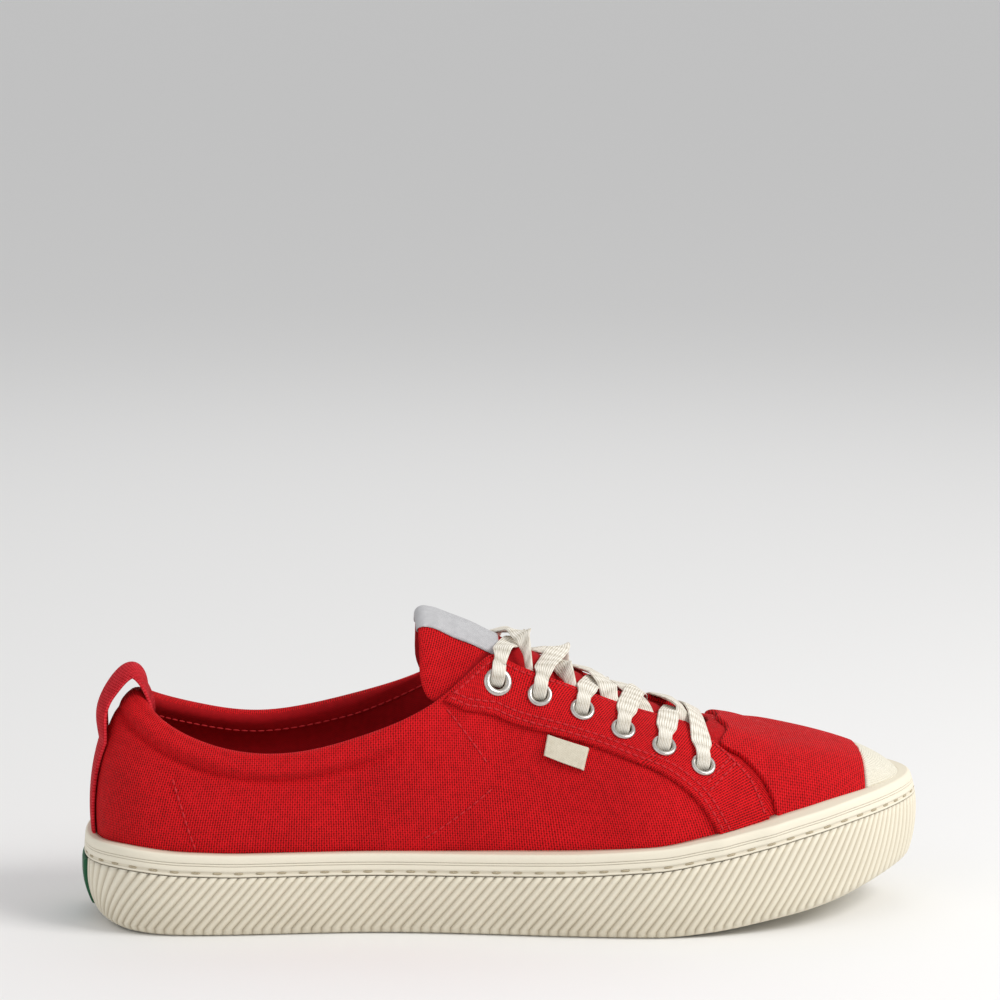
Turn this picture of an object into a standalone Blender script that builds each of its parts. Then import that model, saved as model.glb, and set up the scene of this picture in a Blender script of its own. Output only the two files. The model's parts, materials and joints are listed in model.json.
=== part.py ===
"""Canvas sneaker, right shoe, standing empty on its sole.

The toe points along +X, the outer side of the foot is -Y and Z is up, all in metres. A place on the
upper is a share round the shoe (0 at the heel, rising along the outer side to the toe and back along
the inner side) and a share up its column (0 at the sole, 1 at the edge of the opening). The upper is
one hollow solid round all its columns, and every overlay is laid over the same surface.
"""
import math
from collections import namedtuple

import bmesh
import bpy
import numpy as np
from mathutils import Matrix, Vector
from mathutils.bvhtree import BVHTree

MM = 0.001

# Sizes of the whole shoe
SHOE_LENGTH = 300 * MM
BALL_WIDTH = 104 * MM
THROAT_HEIGHT = 95.3 * MM
TOE_SPRING = 15.8 * MM
GAP = 0.3 * MM
SEAT = 0.6 * MM

# Sole
SIDE_HEIGHT = 29.3 * MM
SOLE_THICKNESS = 15 * MM
EDGE_ROUND = 2.6 * MM
BAND_HEIGHT = 8 * MM
BAND_GROOVE = 0.6 * MM
RIB_PITCH = 3.45 * MM
RIB_DEPTH = 0.9 * MM
RIB_LEAN = 16 * MM
INSOLE_THICKNESS = 4 * MM
PATCH_WIDTH = 26 * MM
PATCH_HEIGHT = 17 * MM
PATCH_THICKNESS = 1.3 * MM

# Upper and its overlays
FOOT_INSET = 7.5 * MM
WALL = 2.2 * MM
OVERLAY = 1.2 * MM
COLLAR_PAD = 6.5 * MM
COLLAR_ROLL = 11.5 * MM
CREASE_DEPTH = 0.8 * MM
HEM_BELOW_BAND = 5 * MM
VAMP_GROOVE = 3 * MM
STRIP_WIDTH = 21 * MM
LOOP_WIDTH = 16 * MM
LOOP_SEAT = 1.5 * MM
LOOP_TAIL = 12 * MM
TONGUE_THICKNESS = 5 * MM
LABEL_WIDTH = 22 * MM
LABEL_LENGTH = 27 * MM
RIBBON = 0.6 * MM
TAB_THICKNESS = 1 * MM

# Eyelets and lace
EYELET_WIDTH = 9 * MM
TOP_EYELET_WIDTH = 10.4 * MM
EYELET_BORE = 5.4 * MM
EYELET_METAL = 0.5 * MM
FLANGE_HEIGHT = 0.9 * MM
BARREL_DEPTH = 2.7 * MM
PUNCH_DEPTH = 8 * MM
LACE_WIDTH = 7.6 * MM
LACE_THICKNESS = 1.2 * MM
LACE_LIFT = 0.45 * MM
LACE_REACH = 0.8
LACE_FAR_SHARE = 0.63

# How finely the round shapes are cut
UPPER_COLUMNS = 70
BAND_COLUMNS = 84
CUP_COLUMNS = 54
EYELET_SIDES = 10

LATERAL = -1
MEDIAL = 1
HEEL = 0.0

# One section of the shoe for each row. x and y are the sole's outline, edge_x, edge_y and edge_z the
# opening's edge. The column leaves the sole by flare outwards and rise upwards, and reaches the edge
# from over outwards and drop below it. x is in shoe lengths, y, flare and over in ball widths, edge_z
# in throat heights, rise and drop in column heights.
Section = namedtuple("Section", "x y edge_x edge_y edge_z flare rise over drop")
SECTIONS = [
    Section(0.000, 0.000, 0.063, 0.000, 0.860, 0.072, 0.34, 0.135, 0.18),
    Section(0.013, -0.202, 0.072, -0.096, 0.834, 0.070, 0.34, 0.125, 0.18),
    Section(0.047, -0.317, 0.095, -0.173, 0.774, 0.062, 0.34, 0.101, 0.20),
    Section(0.117, -0.375, 0.147, -0.264, 0.703, 0.053, 0.37, 0.072, 0.21),
    Section(0.233, -0.378, 0.240, -0.308, 0.667, 0.048, 0.40, 0.043, 0.22),
    Section(0.343, -0.377, 0.337, -0.301, 0.737, 0.043, 0.38, 0.043, 0.25),
    Section(0.417, -0.400, 0.415, -0.272, 0.850, 0.034, 0.38, 0.063, 0.27),
    Section(0.478, -0.430, 0.469, -0.188, 0.976, 0.024, 0.36, 0.087, 0.25),
    Section(0.495, -0.439, 0.484, -0.165, 1.000, 0.024, 0.36, 0.087, 0.25),
    Section(0.513, -0.449, 0.499, -0.158, 0.982, 0.026, 0.36, 0.094, 0.24),
    Section(0.587, -0.484, 0.550, -0.154, 0.912, 0.038, 0.36, 0.135, 0.20),
    Section(0.673, -0.510, 0.630, -0.138, 0.804, 0.091, 0.45, 0.202, 0.13),
    Section(0.760, -0.493, 0.683, -0.130, 0.747, 0.077, 0.47, 0.212, 0.10),
    Section(0.847, -0.426, 0.717, -0.101, 0.709, 0.077, 0.55, 0.240, 0.10),
    Section(0.920, -0.308, 0.735, -0.063, 0.709, 0.080, 0.65, 0.327, 0.13),
    Section(0.970, -0.149, 0.742, -0.027, 0.711, 0.100, 0.78, 0.375, 0.22),
    Section(1.000, 0.053, 0.743, 0.008, 0.712, 0.140, 0.79, 0.375, 0.27),
    Section(0.977, 0.240, 0.741, 0.040, 0.711, 0.100, 0.78, 0.356, 0.22),
    Section(0.923, 0.385, 0.733, 0.075, 0.710, 0.080, 0.65, 0.317, 0.13),
    Section(0.840, 0.471, 0.717, 0.108, 0.712, 0.079, 0.55, 0.240, 0.10),
    Section(0.750, 0.490, 0.682, 0.135, 0.750, 0.077, 0.47, 0.212, 0.10),
    Section(0.657, 0.457, 0.623, 0.144, 0.815, 0.077, 0.45, 0.192, 0.12),
    Section(0.573, 0.396, 0.550, 0.159, 0.915, 0.034, 0.38, 0.125, 0.20),
    Section(0.513, 0.361, 0.499, 0.163, 0.984, 0.014, 0.36, 0.082, 0.25),
    Section(0.495, 0.355, 0.484, 0.169, 1.000, 0.014, 0.36, 0.082, 0.25),
    Section(0.478, 0.350, 0.469, 0.188, 0.978, 0.016, 0.36, 0.080, 0.25),
    Section(0.417, 0.335, 0.415, 0.255, 0.862, 0.038, 0.38, 0.043, 0.27),
    Section(0.340, 0.333, 0.337, 0.284, 0.772, 0.053, 0.38, 0.030, 0.25),
    Section(0.223, 0.360, 0.227, 0.293, 0.701, 0.053, 0.40, 0.040, 0.22),
    Section(0.113, 0.372, 0.145, 0.260, 0.734, 0.053, 0.37, 0.072, 0.21),
    Section(0.047, 0.317, 0.096, 0.176, 0.794, 0.062, 0.34, 0.101, 0.20),
    Section(0.013, 0.202, 0.072, 0.096, 0.839, 0.070, 0.34, 0.125, 0.18),
]
TOE_ROW = 16

# The sole along its length: spring is the underside's height in toe springs, side the height of its
# side in side heights, and floor the thickness under the foot in sole thicknesses.
SoleRow = namedtuple("SoleRow", "x spring side floor")
SOLE_ROWS = [
    SoleRow(0.000, 0.16, 0.98, 1.00),
    SoleRow(0.045, 0.05, 1.05, 1.00),
    SoleRow(0.120, 0.00, 1.02, 1.00),
    SoleRow(0.190, 0.00, 1.00, 1.00),
    SoleRow(0.400, 0.00, 1.00, 0.90),
    SoleRow(0.560, 0.00, 1.03, 0.78),
    SoleRow(0.667, 0.00, 1.10, 0.73),
    SoleRow(0.733, 0.09, 1.157, 0.70),
    SoleRow(0.803, 0.28, 1.19, 0.66),
    SoleRow(0.850, 0.42, 1.21, 0.64),
    SoleRow(0.890, 0.58, 1.20, 0.62),
    SoleRow(0.933, 0.78, 1.15, 0.60),
    SoleRow(1.000, 1.00, 1.065, 0.58),
]

# The tongue from its top to its root under the vamp: x in shoe lengths, height and arch in throat
# heights, half_width in ball widths, padding in tongue thicknesses.
TongueRow = namedtuple("TongueRow", "x height half_width arch padding")
TONGUE_ROWS = [
    TongueRow(0.397, 1.175, 0.234, 0.310, 0.80),
    TongueRow(0.415, 1.165, 0.226, 0.300, 1.00),
    TongueRow(0.433, 1.144, 0.214, 0.299, 1.00),
    TongueRow(0.460, 1.110, 0.198, 0.255, 1.00),
    TongueRow(0.483, 1.073, 0.182, 0.208, 0.95),
    TongueRow(0.517, 1.026, 0.185, 0.210, 0.90),
    TongueRow(0.550, 0.973, 0.196, 0.196, 0.85),
    TongueRow(0.590, 0.911, 0.212, 0.191, 0.80),
    TongueRow(0.630, 0.850, 0.231, 0.205, 0.80),
    TongueRow(0.683, 0.788, 0.212, 0.176, 0.75),
    TongueRow(0.720, 0.730, 0.202, 0.150, 0.65),
    TongueRow(0.753, 0.694, 0.183, 0.130, 0.55),
    TongueRow(0.787, 0.655, 0.173, 0.120, 0.50),
]
ARCH_POWER = 2.3

# Places on the outside, seen from the side: x in shoe lengths, z in throat heights
Spot = namedtuple("Spot", "x z")
EYELETS = [
    Spot(0.487, 0.900),
    Spot(0.537, 0.848),
    Spot(0.586, 0.791),
    Spot(0.633, 0.722),
    Spot(0.680, 0.665),
    Spot(0.725, 0.600),
]
FACING_LOWER_EDGE = [
    Spot(0.424, 0.848),
    Spot(0.456, 0.806),
    Spot(0.495, 0.770),
    Spot(0.539, 0.728),
    Spot(0.594, 0.684),
    Spot(0.639, 0.634),
    Spot(0.672, 0.594),
    Spot(0.698, 0.544),
    Spot(0.715, 0.497),
    Spot(0.728, 0.442),
    Spot(0.743, 0.360),
]
LEG_FRONT_EDGE = [
    Spot(0.742, 0.650),
    Spot(0.762, 0.622),
    Spot(0.781, 0.568),
    Spot(0.794, 0.497),
    Spot(0.803, 0.400),
]
TAB_CORNERS = [
    Spot(0.545, 0.718),
    Spot(0.593, 0.672),
    Spot(0.586, 0.600),
    Spot(0.540, 0.648),
]
CAP_LINE_X = 0.921
CAP_LINE_BOW = 0.006

# The pull loop from where it leaves the heel to where it enters the shoe: x in shoe lengths, z in
# throat heights
LOOP_ROUTE = [
    Spot(0.0185, 0.760),
    Spot(0.0245, 0.825),
    Spot(0.0375, 0.893),
    Spot(0.0520, 0.943),
    Spot(0.0640, 0.955),
    Spot(0.0745, 0.925),
    Spot(0.0790, 0.872),
]


def finish(name, red, green, blue, roughness, metallic=0.0):
    """A Principled material from a colour as it looks on screen, 0 to 255."""
    material = bpy.data.materials.new(name)
    material.use_nodes = True
    shader = material.node_tree.nodes["Principled BSDF"]
    linear = [(channel / 255) ** 2.2 for channel in (red, green, blue)]
    shader.inputs["Base Color"].default_value = (*linear, 1)
    shader.inputs["Roughness"].default_value = roughness
    shader.inputs["Metallic"].default_value = metallic
    return material


def knit(name, rings, material, joined=False):
    """A solid through equal rings of points: a closed loop of rings, or a run with flat ends."""
    mesh = bmesh.new()
    rows = [[mesh.verts.new(point) for point in ring] for ring in rings]
    pairs = list(zip(rows, rows[1:]))
    if joined:
        pairs.append((rows[-1], rows[0]))
    for low, high in pairs:
        for i, vertex in enumerate(low):
            mesh.faces.new((vertex, low[i - 1], high[i - 1], high[i]))
    if not joined:
        mesh.faces.new(rows[0])
        mesh.faces.new(rows[-1])
    return settle(name, mesh, material)


def slab(name, under, over, material):
    """A solid between two grids of points of the same size, each a list of rows."""
    mesh = bmesh.new()
    low = [[mesh.verts.new(point) for point in row] for row in under]
    high = [[mesh.verts.new(point) for point in row] for row in over]
    rows, columns = len(low), len(low[0])
    for i in range(rows - 1):
        for j in range(columns - 1):
            for grid in (low, high):
                mesh.faces.new((grid[i][j], grid[i][j + 1], grid[i + 1][j + 1], grid[i + 1][j]))
    rim = [(0, j) for j in range(columns)] + [(i, columns - 1) for i in range(1, rows)]
    rim += [(rows - 1, j) for j in range(columns - 2, -1, -1)] + [(i, 0) for i in range(rows - 2, 0, -1)]
    for (i, j), (k, m) in zip(rim, rim[1:] + rim[:1]):
        mesh.faces.new((low[i][j], low[k][m], high[k][m], high[i][j]))
    return settle(name, mesh, material)


def settle(name, mesh, material, smooth_angle=35):
    """Turn a closed bmesh outwards and make it a named object."""
    bmesh.ops.recalc_face_normals(mesh, faces=mesh.faces)
    data = bpy.data.meshes.new(name)
    mesh.to_mesh(data)
    mesh.free()
    data.shade_smooth()
    data.set_sharp_from_angle(angle=math.radians(smooth_angle))
    data.materials.append(material)
    piece = bpy.data.objects.new(name, data)
    bpy.context.scene.collection.objects.link(piece)
    return piece


def round_curve(knots, values):
    """A smooth closed curve through values at knots from 0 to 1, as a function of the share."""
    knots = np.asarray(knots, float)
    values = np.asarray(values, float)
    count = len(knots)
    steps = np.diff(np.append(knots, 1.0))
    slopes = (np.roll(values, -1, axis=0) - values) / steps[:, None]
    matrix = np.zeros((count, count))
    for i in range(count):
        matrix[i, i - 1] += steps[i - 1]
        matrix[i, i] += 2 * (steps[i - 1] + steps[i])
        matrix[i, (i + 1) % count] += steps[i]
    bends = np.linalg.solve(matrix, 6 * (slopes - np.roll(slopes, 1, axis=0)))

    def curve(share):
        share = np.mod(np.asarray(share, float), 1.0)
        at = np.clip(np.searchsorted(knots, share, side="right") - 1, 0, count - 1)
        after = (at + 1) % count
        step = steps[at][..., None]
        back = (share - knots[at])[..., None]
        ahead = step - back
        bent = (bends[at] * ahead ** 3 + bends[after] * back ** 3) / (6 * step)
        low = (values[at] / step - bends[at] * step / 6) * ahead
        high = (values[after] / step - bends[after] * step / 6) * back
        return bent + low + high

    return curve


def run_curve(places, values):
    """A smooth curve through values at rising places that never overshoots them."""
    places = np.asarray(places, float)
    values = np.asarray(values, float)
    steps = np.diff(places)
    slopes = np.diff(values, axis=0) / (steps[:, None] if values.ndim > 1 else steps)
    both = slopes[1:] + slopes[:-1]
    same_way = slopes[1:] * slopes[:-1] > 0
    inner = np.where(same_way, 2 * slopes[1:] * slopes[:-1] / np.where(both == 0, 1, both), 0)
    tangents = np.concatenate([slopes[:1], inner, slopes[-1:]])

    def curve(place):
        place = np.clip(np.asarray(place, float), places[0], places[-1])
        at = np.clip(np.searchsorted(places, place, side="right") - 1, 0, len(places) - 2)
        step = steps[at]
        share = (place - places[at]) / step
        if values.ndim > 1:
            step, share = step[..., None], share[..., None]
        left = 1 - share
        low = values[at] * (1 + 2 * share) + tangents[at] * step * share
        high = values[at + 1] * (1 + 2 * left) - tangents[at + 1] * step * left
        return low * left ** 2 + high * share ** 2

    return curve


def fade(value, start, end):
    """0 up to start and 1 past end, smooth between."""
    share = np.clip((np.asarray(value, float) - start) / (end - start), 0, 1)
    return share * share * (3 - 2 * share)


def unit(vectors):
    return vectors / np.linalg.norm(vectors, axis=-1, keepdims=True)


OUTLINE_POINTS = np.array([(row.x * SHOE_LENGTH, row.y * BALL_WIDTH) for row in SECTIONS])
CHORDS = np.linalg.norm(np.roll(OUTLINE_POINTS, -1, axis=0) - OUTLINE_POINTS, axis=1)
PERIMETER = CHORDS.sum()
KNOTS = np.concatenate([[0.0], np.cumsum(CHORDS)[:-1]]) / PERIMETER
TOE = KNOTS[TOE_ROW]
outline = round_curve(KNOTS, OUTLINE_POINTS)
section_at = round_curve(KNOTS, [row[2:] for row in SECTIONS])
sole_at = run_curve([row.x * SHOE_LENGTH for row in SOLE_ROWS],
                    [(row.spring * TOE_SPRING, row.side * SIDE_HEIGHT, row.floor * SOLE_THICKNESS)
                     for row in SOLE_ROWS])


def outwards(share):
    """The direction away from the shoe, level with the floor."""
    step = 0.0005
    along = outline(share + step) - outline(share - step)
    away = np.stack([along[..., 1], -along[..., 0], np.zeros(np.shape(share))], axis=-1)
    return unit(away)


def underside(x):
    return sole_at(x)[..., 0]


def side_top(x):
    """Height of the sole's top edge."""
    row = sole_at(x)
    return row[..., 0] + row[..., 1]


def ledge(x):
    """Height where the ribs end and the smooth band begins."""
    return side_top(x) - BAND_HEIGHT


def cup_floor(x):
    row = sole_at(x)
    return row[..., 0] + row[..., 2]


def handles(share):
    """The four control points of the columns at some shares round the shoe."""
    share = np.asarray(share, float)
    edge_x, edge_y, edge_z, flare, rise, over, drop = np.moveaxis(section_at(share), -1, 0)
    away = outwards(share)
    flat = outline(share)
    foot = np.stack([flat[..., 0], flat[..., 1], np.zeros(share.shape)], axis=-1) - FOOT_INSET * away
    foot[..., 2] = cup_floor(foot[..., 0]) + GAP
    edge = np.stack([edge_x * SHOE_LENGTH, edge_y * BALL_WIDTH, edge_z * THROAT_HEIGHT], axis=-1)
    height = edge[..., 2] - foot[..., 2]
    up = np.array([0.0, 0.0, 1.0])
    low = foot + away * (flare * BALL_WIDTH)[..., None] + up * (rise * height)[..., None]
    high = edge + away * (over * BALL_WIDTH)[..., None] - up * (drop * height)[..., None]
    return foot, low, high, edge


def skin(share, climb):
    """A point of the upper's outer surface."""
    foot, low, high, edge = handles(share)
    up = np.asarray(climb, float)[..., None]
    down = 1 - up
    return down ** 3 * foot + 3 * up * down ** 2 * low + 3 * up ** 2 * down * high + up ** 3 * edge


def skin_normal(share, climb):
    step = 0.0004
    share = np.asarray(share, float)
    climb = np.asarray(climb, float)
    along = skin(share + step, climb) - skin(share - step, climb)
    upwards = skin(share, climb + step) - skin(share, climb - step)
    return unit(np.cross(along, upwards))


def off_skin(share, climb, height):
    """A point at a height over the upper's surface, or under it where the height is negative."""
    return skin(share, climb) + skin_normal(share, climb) * np.asarray(height, float)[..., None]


def column_length(share):
    climbs = np.linspace(0, 1, 17)
    points = [skin(share, np.full(np.shape(share), climb)) for climb in climbs]
    return sum(np.linalg.norm(high - low, axis=-1) for low, high in zip(points, points[1:]))


def climb_to(share, height, axis=2, top=0.6, lift=0.0):
    """How far up its column a point, lifted off the upper, reaches a height or another coordinate."""
    low = np.zeros(np.shape(share))
    high = np.full(np.shape(share), top)
    rising = skin(share, high)[..., axis] > skin(share, low)[..., axis]
    lift = np.broadcast_to(lift, np.shape(share))
    for _ in range(24):
        middle = (low + high) / 2
        short = (off_skin(share, middle, lift)[..., axis] < height) == rising
        low = np.where(short, middle, low)
        high = np.where(short, high, middle)
    return (low + high) / 2


def locate(first, second, side, axes=(0, 2)):
    """The share and climb of the surface point with two given coordinates, on one side."""
    target = np.array([first, second])
    start, end = (0.02, TOE) if side == LATERAL else (TOE, 0.98)
    shares, climbs = np.meshgrid(np.linspace(start, end, 120), np.linspace(0.05, 1, 40))
    misses = np.linalg.norm(skin(shares, climbs)[..., axes] - target, axis=-1)
    best = np.unravel_index(np.argmin(misses), misses.shape)
    place = np.array([shares[best], climbs[best]])
    step = 0.0005
    for _ in range(12):
        here = skin(*place)[..., axes]
        along = (skin(place[0] + step, place[1])[..., axes] - here) / step
        upwards = (skin(place[0], place[1] + step)[..., axes] - here) / step
        move = np.linalg.lstsq(np.stack([along, upwards], axis=1), target - here, rcond=None)[0]
        place = place + np.clip(move, -0.02, 0.02)
        place[1] = min(place[1], 1.0)
    return place


def locate_spots(spots, side):
    return [locate(spot.x * SHOE_LENGTH, spot.z * THROAT_HEIGHT, side) for spot in spots]


def trail(places, count):
    """Evenly spaced places along a line drawn on the upper through some places."""
    places = np.array(places)
    points = skin(places[:, 0], places[:, 1])
    runs = np.concatenate([[0], np.cumsum(np.linalg.norm(np.diff(points, axis=0), axis=1))])
    return run_curve(runs, places)(np.linspace(0, runs[-1], count))


def laid(name, first, second, columns, lift, thickness, material):
    """A piece laid on the upper between two lines of places."""
    shares = np.linspace(0, 1, columns)[None, :, None]
    places = first[:, None, :] * (1 - shares) + second[:, None, :] * shares
    under = off_skin(places[..., 0], places[..., 1], np.full(places.shape[:2], lift))
    over = off_skin(places[..., 0], places[..., 1], np.full(places.shape[:2], lift + thickness))
    return slab(name, under, over, material)


def side_inset(share, height_share):
    """How far the sole's side lies inside its widest outline."""
    x = outline(share)[..., 0] / SHOE_LENGTH
    heel = np.clip(1 - x / 0.12, 0, 1) ** 2
    toe = np.clip((x - 0.85) / 0.15, 0, 1) ** 2
    tuck = (2.0 + 3.0 * heel + 1.0 * toe) * MM
    lean = (0.7 + 2.0 * toe) * MM
    low = np.clip(1 - height_share / 0.55, 0, 1) ** 2
    high = np.clip((height_share - 0.55) / 0.45, 0, 1) ** 2
    return tuck * low + lean * high


def side_point(share, height, inset=0.0):
    """A point of the sole's side at a height over the floor, moved inwards by inset."""
    flat = outline(share)
    low = underside(flat[..., 0])
    height_share = np.clip((height - low) / (side_top(flat[..., 0]) - low), 0, 1)
    point = np.stack([flat[..., 0], flat[..., 1], height], axis=-1)
    return point - outwards(share) * (side_inset(share, height_share) + inset)[..., None]


def zip_cap(mesh, ring):
    """Close a ring that starts at the heel with strips from its outer to its inner side."""
    half = len(ring) // 2
    mesh.faces.new((ring[0], ring[1], ring[-1]))
    for i in range(1, half - 1):
        mesh.faces.new((ring[i], ring[i + 1], ring[-i - 1], ring[-i]))
    mesh.faces.new((ring[half - 1], ring[half], ring[half + 1]))


def zip_rings(mesh, outer, outer_shares, inner, inner_shares):
    """Join two rings with different numbers of points, both rising in share."""
    i, j = 0, 0
    outer_count, inner_count = len(outer), len(inner)
    while i < outer_count or j < inner_count:
        next_outer = outer_shares[(i + 1) % outer_count] + (i + 1) // outer_count
        next_inner = inner_shares[(j + 1) % inner_count] + (j + 1) // inner_count
        here, there = outer[i % outer_count], inner[j % inner_count]
        if j >= inner_count or (i < outer_count and next_outer <= next_inner):
            mesh.faces.new((here, outer[(i + 1) % outer_count], there))
            i += 1
        else:
            mesh.faces.new((here, inner[(j + 1) % inner_count], there))
            j += 1


def make_outsole(material):
    """Cup sole: flat tread, slanted ribs round the side, a ledge for the band and a cavity."""
    ribs = round(PERIMETER / RIB_PITCH)
    shares = np.arange(2 * ribs) / (2 * ribs)
    from_toe = np.abs(shares - TOE) * PERIMETER
    from_heel = np.minimum(shares, 1 - shares) * PERIMETER
    lean = fade(from_toe, 0, 70 * MM) * fade(from_heel, 8 * MM, 40 * MM) * RIB_LEAN / 2 / PERIMETER
    lean = lean * np.where(shares < TOE, 1, -1)
    depth = np.where(np.arange(2 * ribs) % 2 == 0, 0, RIB_DEPTH)
    patch_edge = PATCH_WIDTH / 2
    in_patch = 1 - fade(from_heel, patch_edge + 1 * MM, patch_edge + 2 * MM)
    depth = depth * (1 - in_patch) + RIB_DEPTH * in_patch
    low_shares, high_shares = shares - lean, shares + lean
    low_floor = underside(outline(low_shares)[..., 0])
    rings = [
        side_point(low_shares, low_floor, np.full(shares.shape, EDGE_ROUND * 0.8)),
        side_point(low_shares, low_floor + EDGE_ROUND * 0.8, depth),
        side_point(high_shares, ledge(outline(high_shares)[..., 0]), depth),
    ]
    mesh = bmesh.new()
    rows = [[mesh.verts.new(point) for point in ring] for ring in rings]
    for low, high in zip(rows, rows[1:]):
        for i, vertex in enumerate(low):
            mesh.faces.new((vertex, low[i - 1], high[i - 1], high[i]))
    zip_cap(mesh, rows[0])
    cup = np.arange(CUP_COLUMNS) / CUP_COLUMNS
    brink = climb_to(cup, ledge(outline(cup)[..., 0]))
    walls = []
    for level in (0, 0.5, 1):
        ring = off_skin(cup, brink * level, np.full(cup.shape, 2 * GAP))
        walls.append([mesh.verts.new(point) for point in ring])
    for vertex in walls[0]:
        vertex.co.z = cup_floor(vertex.co.x)
    for low, high in zip(walls, walls[1:]):
        for i, vertex in enumerate(low):
            mesh.faces.new((vertex, low[i - 1], high[i - 1], high[i]))
    for vertex in walls[-1]:
        vertex.co.z = ledge(vertex.co.x)
    zip_cap(mesh, walls[0])
    zip_rings(mesh, rows[-1], np.mod(high_shares, 1), walls[-1], cup)
    return settle("outsole", mesh, material)


def overlaid(share):
    """1 where an overlay or the heel's tape runs down behind the band, 0 along the bare quarter."""
    column = PERIMETER / BAND_COLUMNS
    from_heel = np.minimum(share, 1 - share) * PERIMETER
    x = outline(share)[..., 0]
    leg = FACING_LOWER_EDGE[-1].x * SHOE_LENGTH
    heel = 1 - fade(from_heel, STRIP_WIDTH / 2 + column, STRIP_WIDTH / 2 + 2 * column)
    return np.maximum(heel, fade(x, leg - 3 * column, leg - 2 * column))


def make_band(material):
    """Smooth band above the ribs, with a fine groove near its top and a hollow for the stitches."""
    shares = np.arange(BAND_COLUMNS) / BAND_COLUMNS
    x = outline(shares)[..., 0]
    top, bottom = side_top(x), ledge(x) + GAP
    outside = [
        (bottom, 0.0),
        (top - 4.4 * MM, 0.0),
        (top - 3.4 * MM, BAND_GROOVE),
        (top - 2.6 * MM, 0.0),
        (top, 0.8 * MM),
    ]
    levels = [side_point(shares, height, np.full(shares.shape, inset)) for height, inset in outside]
    clear = 2 * GAP + (SEAT + OVERLAY) * overlaid(shares)
    for height in (top - GAP, (top + bottom) / 2, bottom):
        climb = climb_to(shares, height, lift=clear)
        levels.append(off_skin(shares, climb, clear))
    rings = np.stack(levels, axis=1)
    return knit("foxing_band", rings, material, joined=True)


def make_heel_patch(material):
    """Plain rubber patch that sits in its recess at the back of the sole."""
    half = PATCH_WIDTH / 2 / PERIMETER
    shares = np.linspace(-half, half, 7)
    top = ledge(0.0) - GAP * 2
    heights = np.linspace(top - PATCH_HEIGHT, top, 4)
    recess = RIB_DEPTH - GAP
    under, over = [], []
    for height in heights:
        level = np.full(shares.shape, height)
        under.append(side_point(shares, level, np.full(shares.shape, recess)))
        over.append(side_point(shares, level, np.full(shares.shape, recess - PATCH_THICKNESS)))
    return slab("heel_patch", under, over, material)


def make_insole(material):
    """Flat sock on the floor of the cup, inside the upper's wall."""
    shares = np.arange(CUP_COLUMNS) / CUP_COLUMNS
    inside = skin(shares, np.zeros(shares.shape)) - outwards(shares) * (WALL + 3 * GAP)
    mesh = bmesh.new()
    rows = []
    for height in (GAP, GAP + INSOLE_THICKNESS):
        ring = inside.copy()
        ring[..., 2] = cup_floor(ring[..., 0]) + height
        rows.append([mesh.verts.new(point) for point in ring])
    for i in range(CUP_COLUMNS):
        mesh.faces.new((rows[0][i], rows[0][i - 1], rows[1][i - 1], rows[1][i]))
    zip_cap(mesh, rows[0])
    zip_cap(mesh, rows[1])
    return settle("insole", mesh, material)


def padding_share(share):
    """1 round the collar and 0 along the throat."""
    edge_x = section_at(share)[..., 0]
    return 1 - fade(edge_x, 0.31, 0.42)


def lip_radius(share):
    return (WALL + (COLLAR_PAD - WALL) * padding_share(share)) / 2


def make_upper(material):
    """The hollow upper: a wall that swells into a padded roll at the collar."""
    shares = np.arange(UPPER_COLUMNS) / UPPER_COLUMNS
    padded = padding_share(shares)
    length = column_length(shares)
    lip = lip_radius(shares)
    roll = COLLAR_ROLL / length
    lip_top = 1 - lip / length
    crease = 1 - roll
    outer = [(crease * level, 0 * padded) for level in (0, 0.28, 0.56, 0.82)]
    outer.append((crease, -CREASE_DEPTH * padded))
    outer.append((crease + (lip_top - crease) * 0.45, 0.8 * MM * padded))
    outer.append((lip_top, 0 * padded))
    inner = [(lip_top, -2 * lip)]
    inner.append((crease + (lip_top - crease) * 0.3, -(WALL + (COLLAR_PAD - WALL) * padded * 0.9)))
    inner.append((crease * 0.86, -(WALL + (COLLAR_PAD - WALL) * padded * 0.2)))
    inner += [(crease * level, -WALL + 0 * padded) for level in (0.45, 0)]
    ring = [off_skin(shares, climb, height) for climb, height in outer]
    middle = off_skin(shares, lip_top, -lip)
    across = skin_normal(shares, lip_top)
    step = 0.0004
    upwards = unit(skin(shares, lip_top + step) - skin(shares, lip_top - step))
    for turn in (45, 90, 135):
        angle = math.radians(turn)
        ring.append(middle + (across * math.cos(angle) + upwards * math.sin(angle)) * lip[:, None])
    ring += [off_skin(shares, climb, height) for climb, height in inner]
    return knit("upper", np.stack(ring, axis=1), material, joined=True)


def facing_lines(side, count):
    """The eyestay's two edges: the opening's edge and leg front, and the lower edge and leg back."""
    lower = locate_spots(FACING_LOWER_EDGE, side)
    front = locate_spots(LEG_FRONT_EDGE, side)
    back_share = lower[0][0] + 0.004 * -side
    throat_shares = np.linspace(back_share, front[0][0] - 0.006 * -side, 16)
    edge_climb = 1 - 1.2 * lip_radius(throat_shares) / column_length(throat_shares)
    upper = [np.array(place) for place in zip(throat_shares, edge_climb)] + front[1:]
    return trail(upper, count), trail(lower, count)


def make_eyestay(side, name, material):
    first, second = facing_lines(side, 20)
    return laid(name, first, second, 4, SEAT, OVERLAY, material)


def cap_line(shares, gap):
    """Places along the toe cap's upper edge, straight across the toe and bowed a little forward."""
    bow = CAP_LINE_BOW * (1 - ((shares - TOE) / 0.06) ** 2)
    distance = (CAP_LINE_X + bow) * SHOE_LENGTH - gap
    return np.stack([shares, climb_to(shares, distance, axis=0, top=1.0)], axis=-1)


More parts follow.
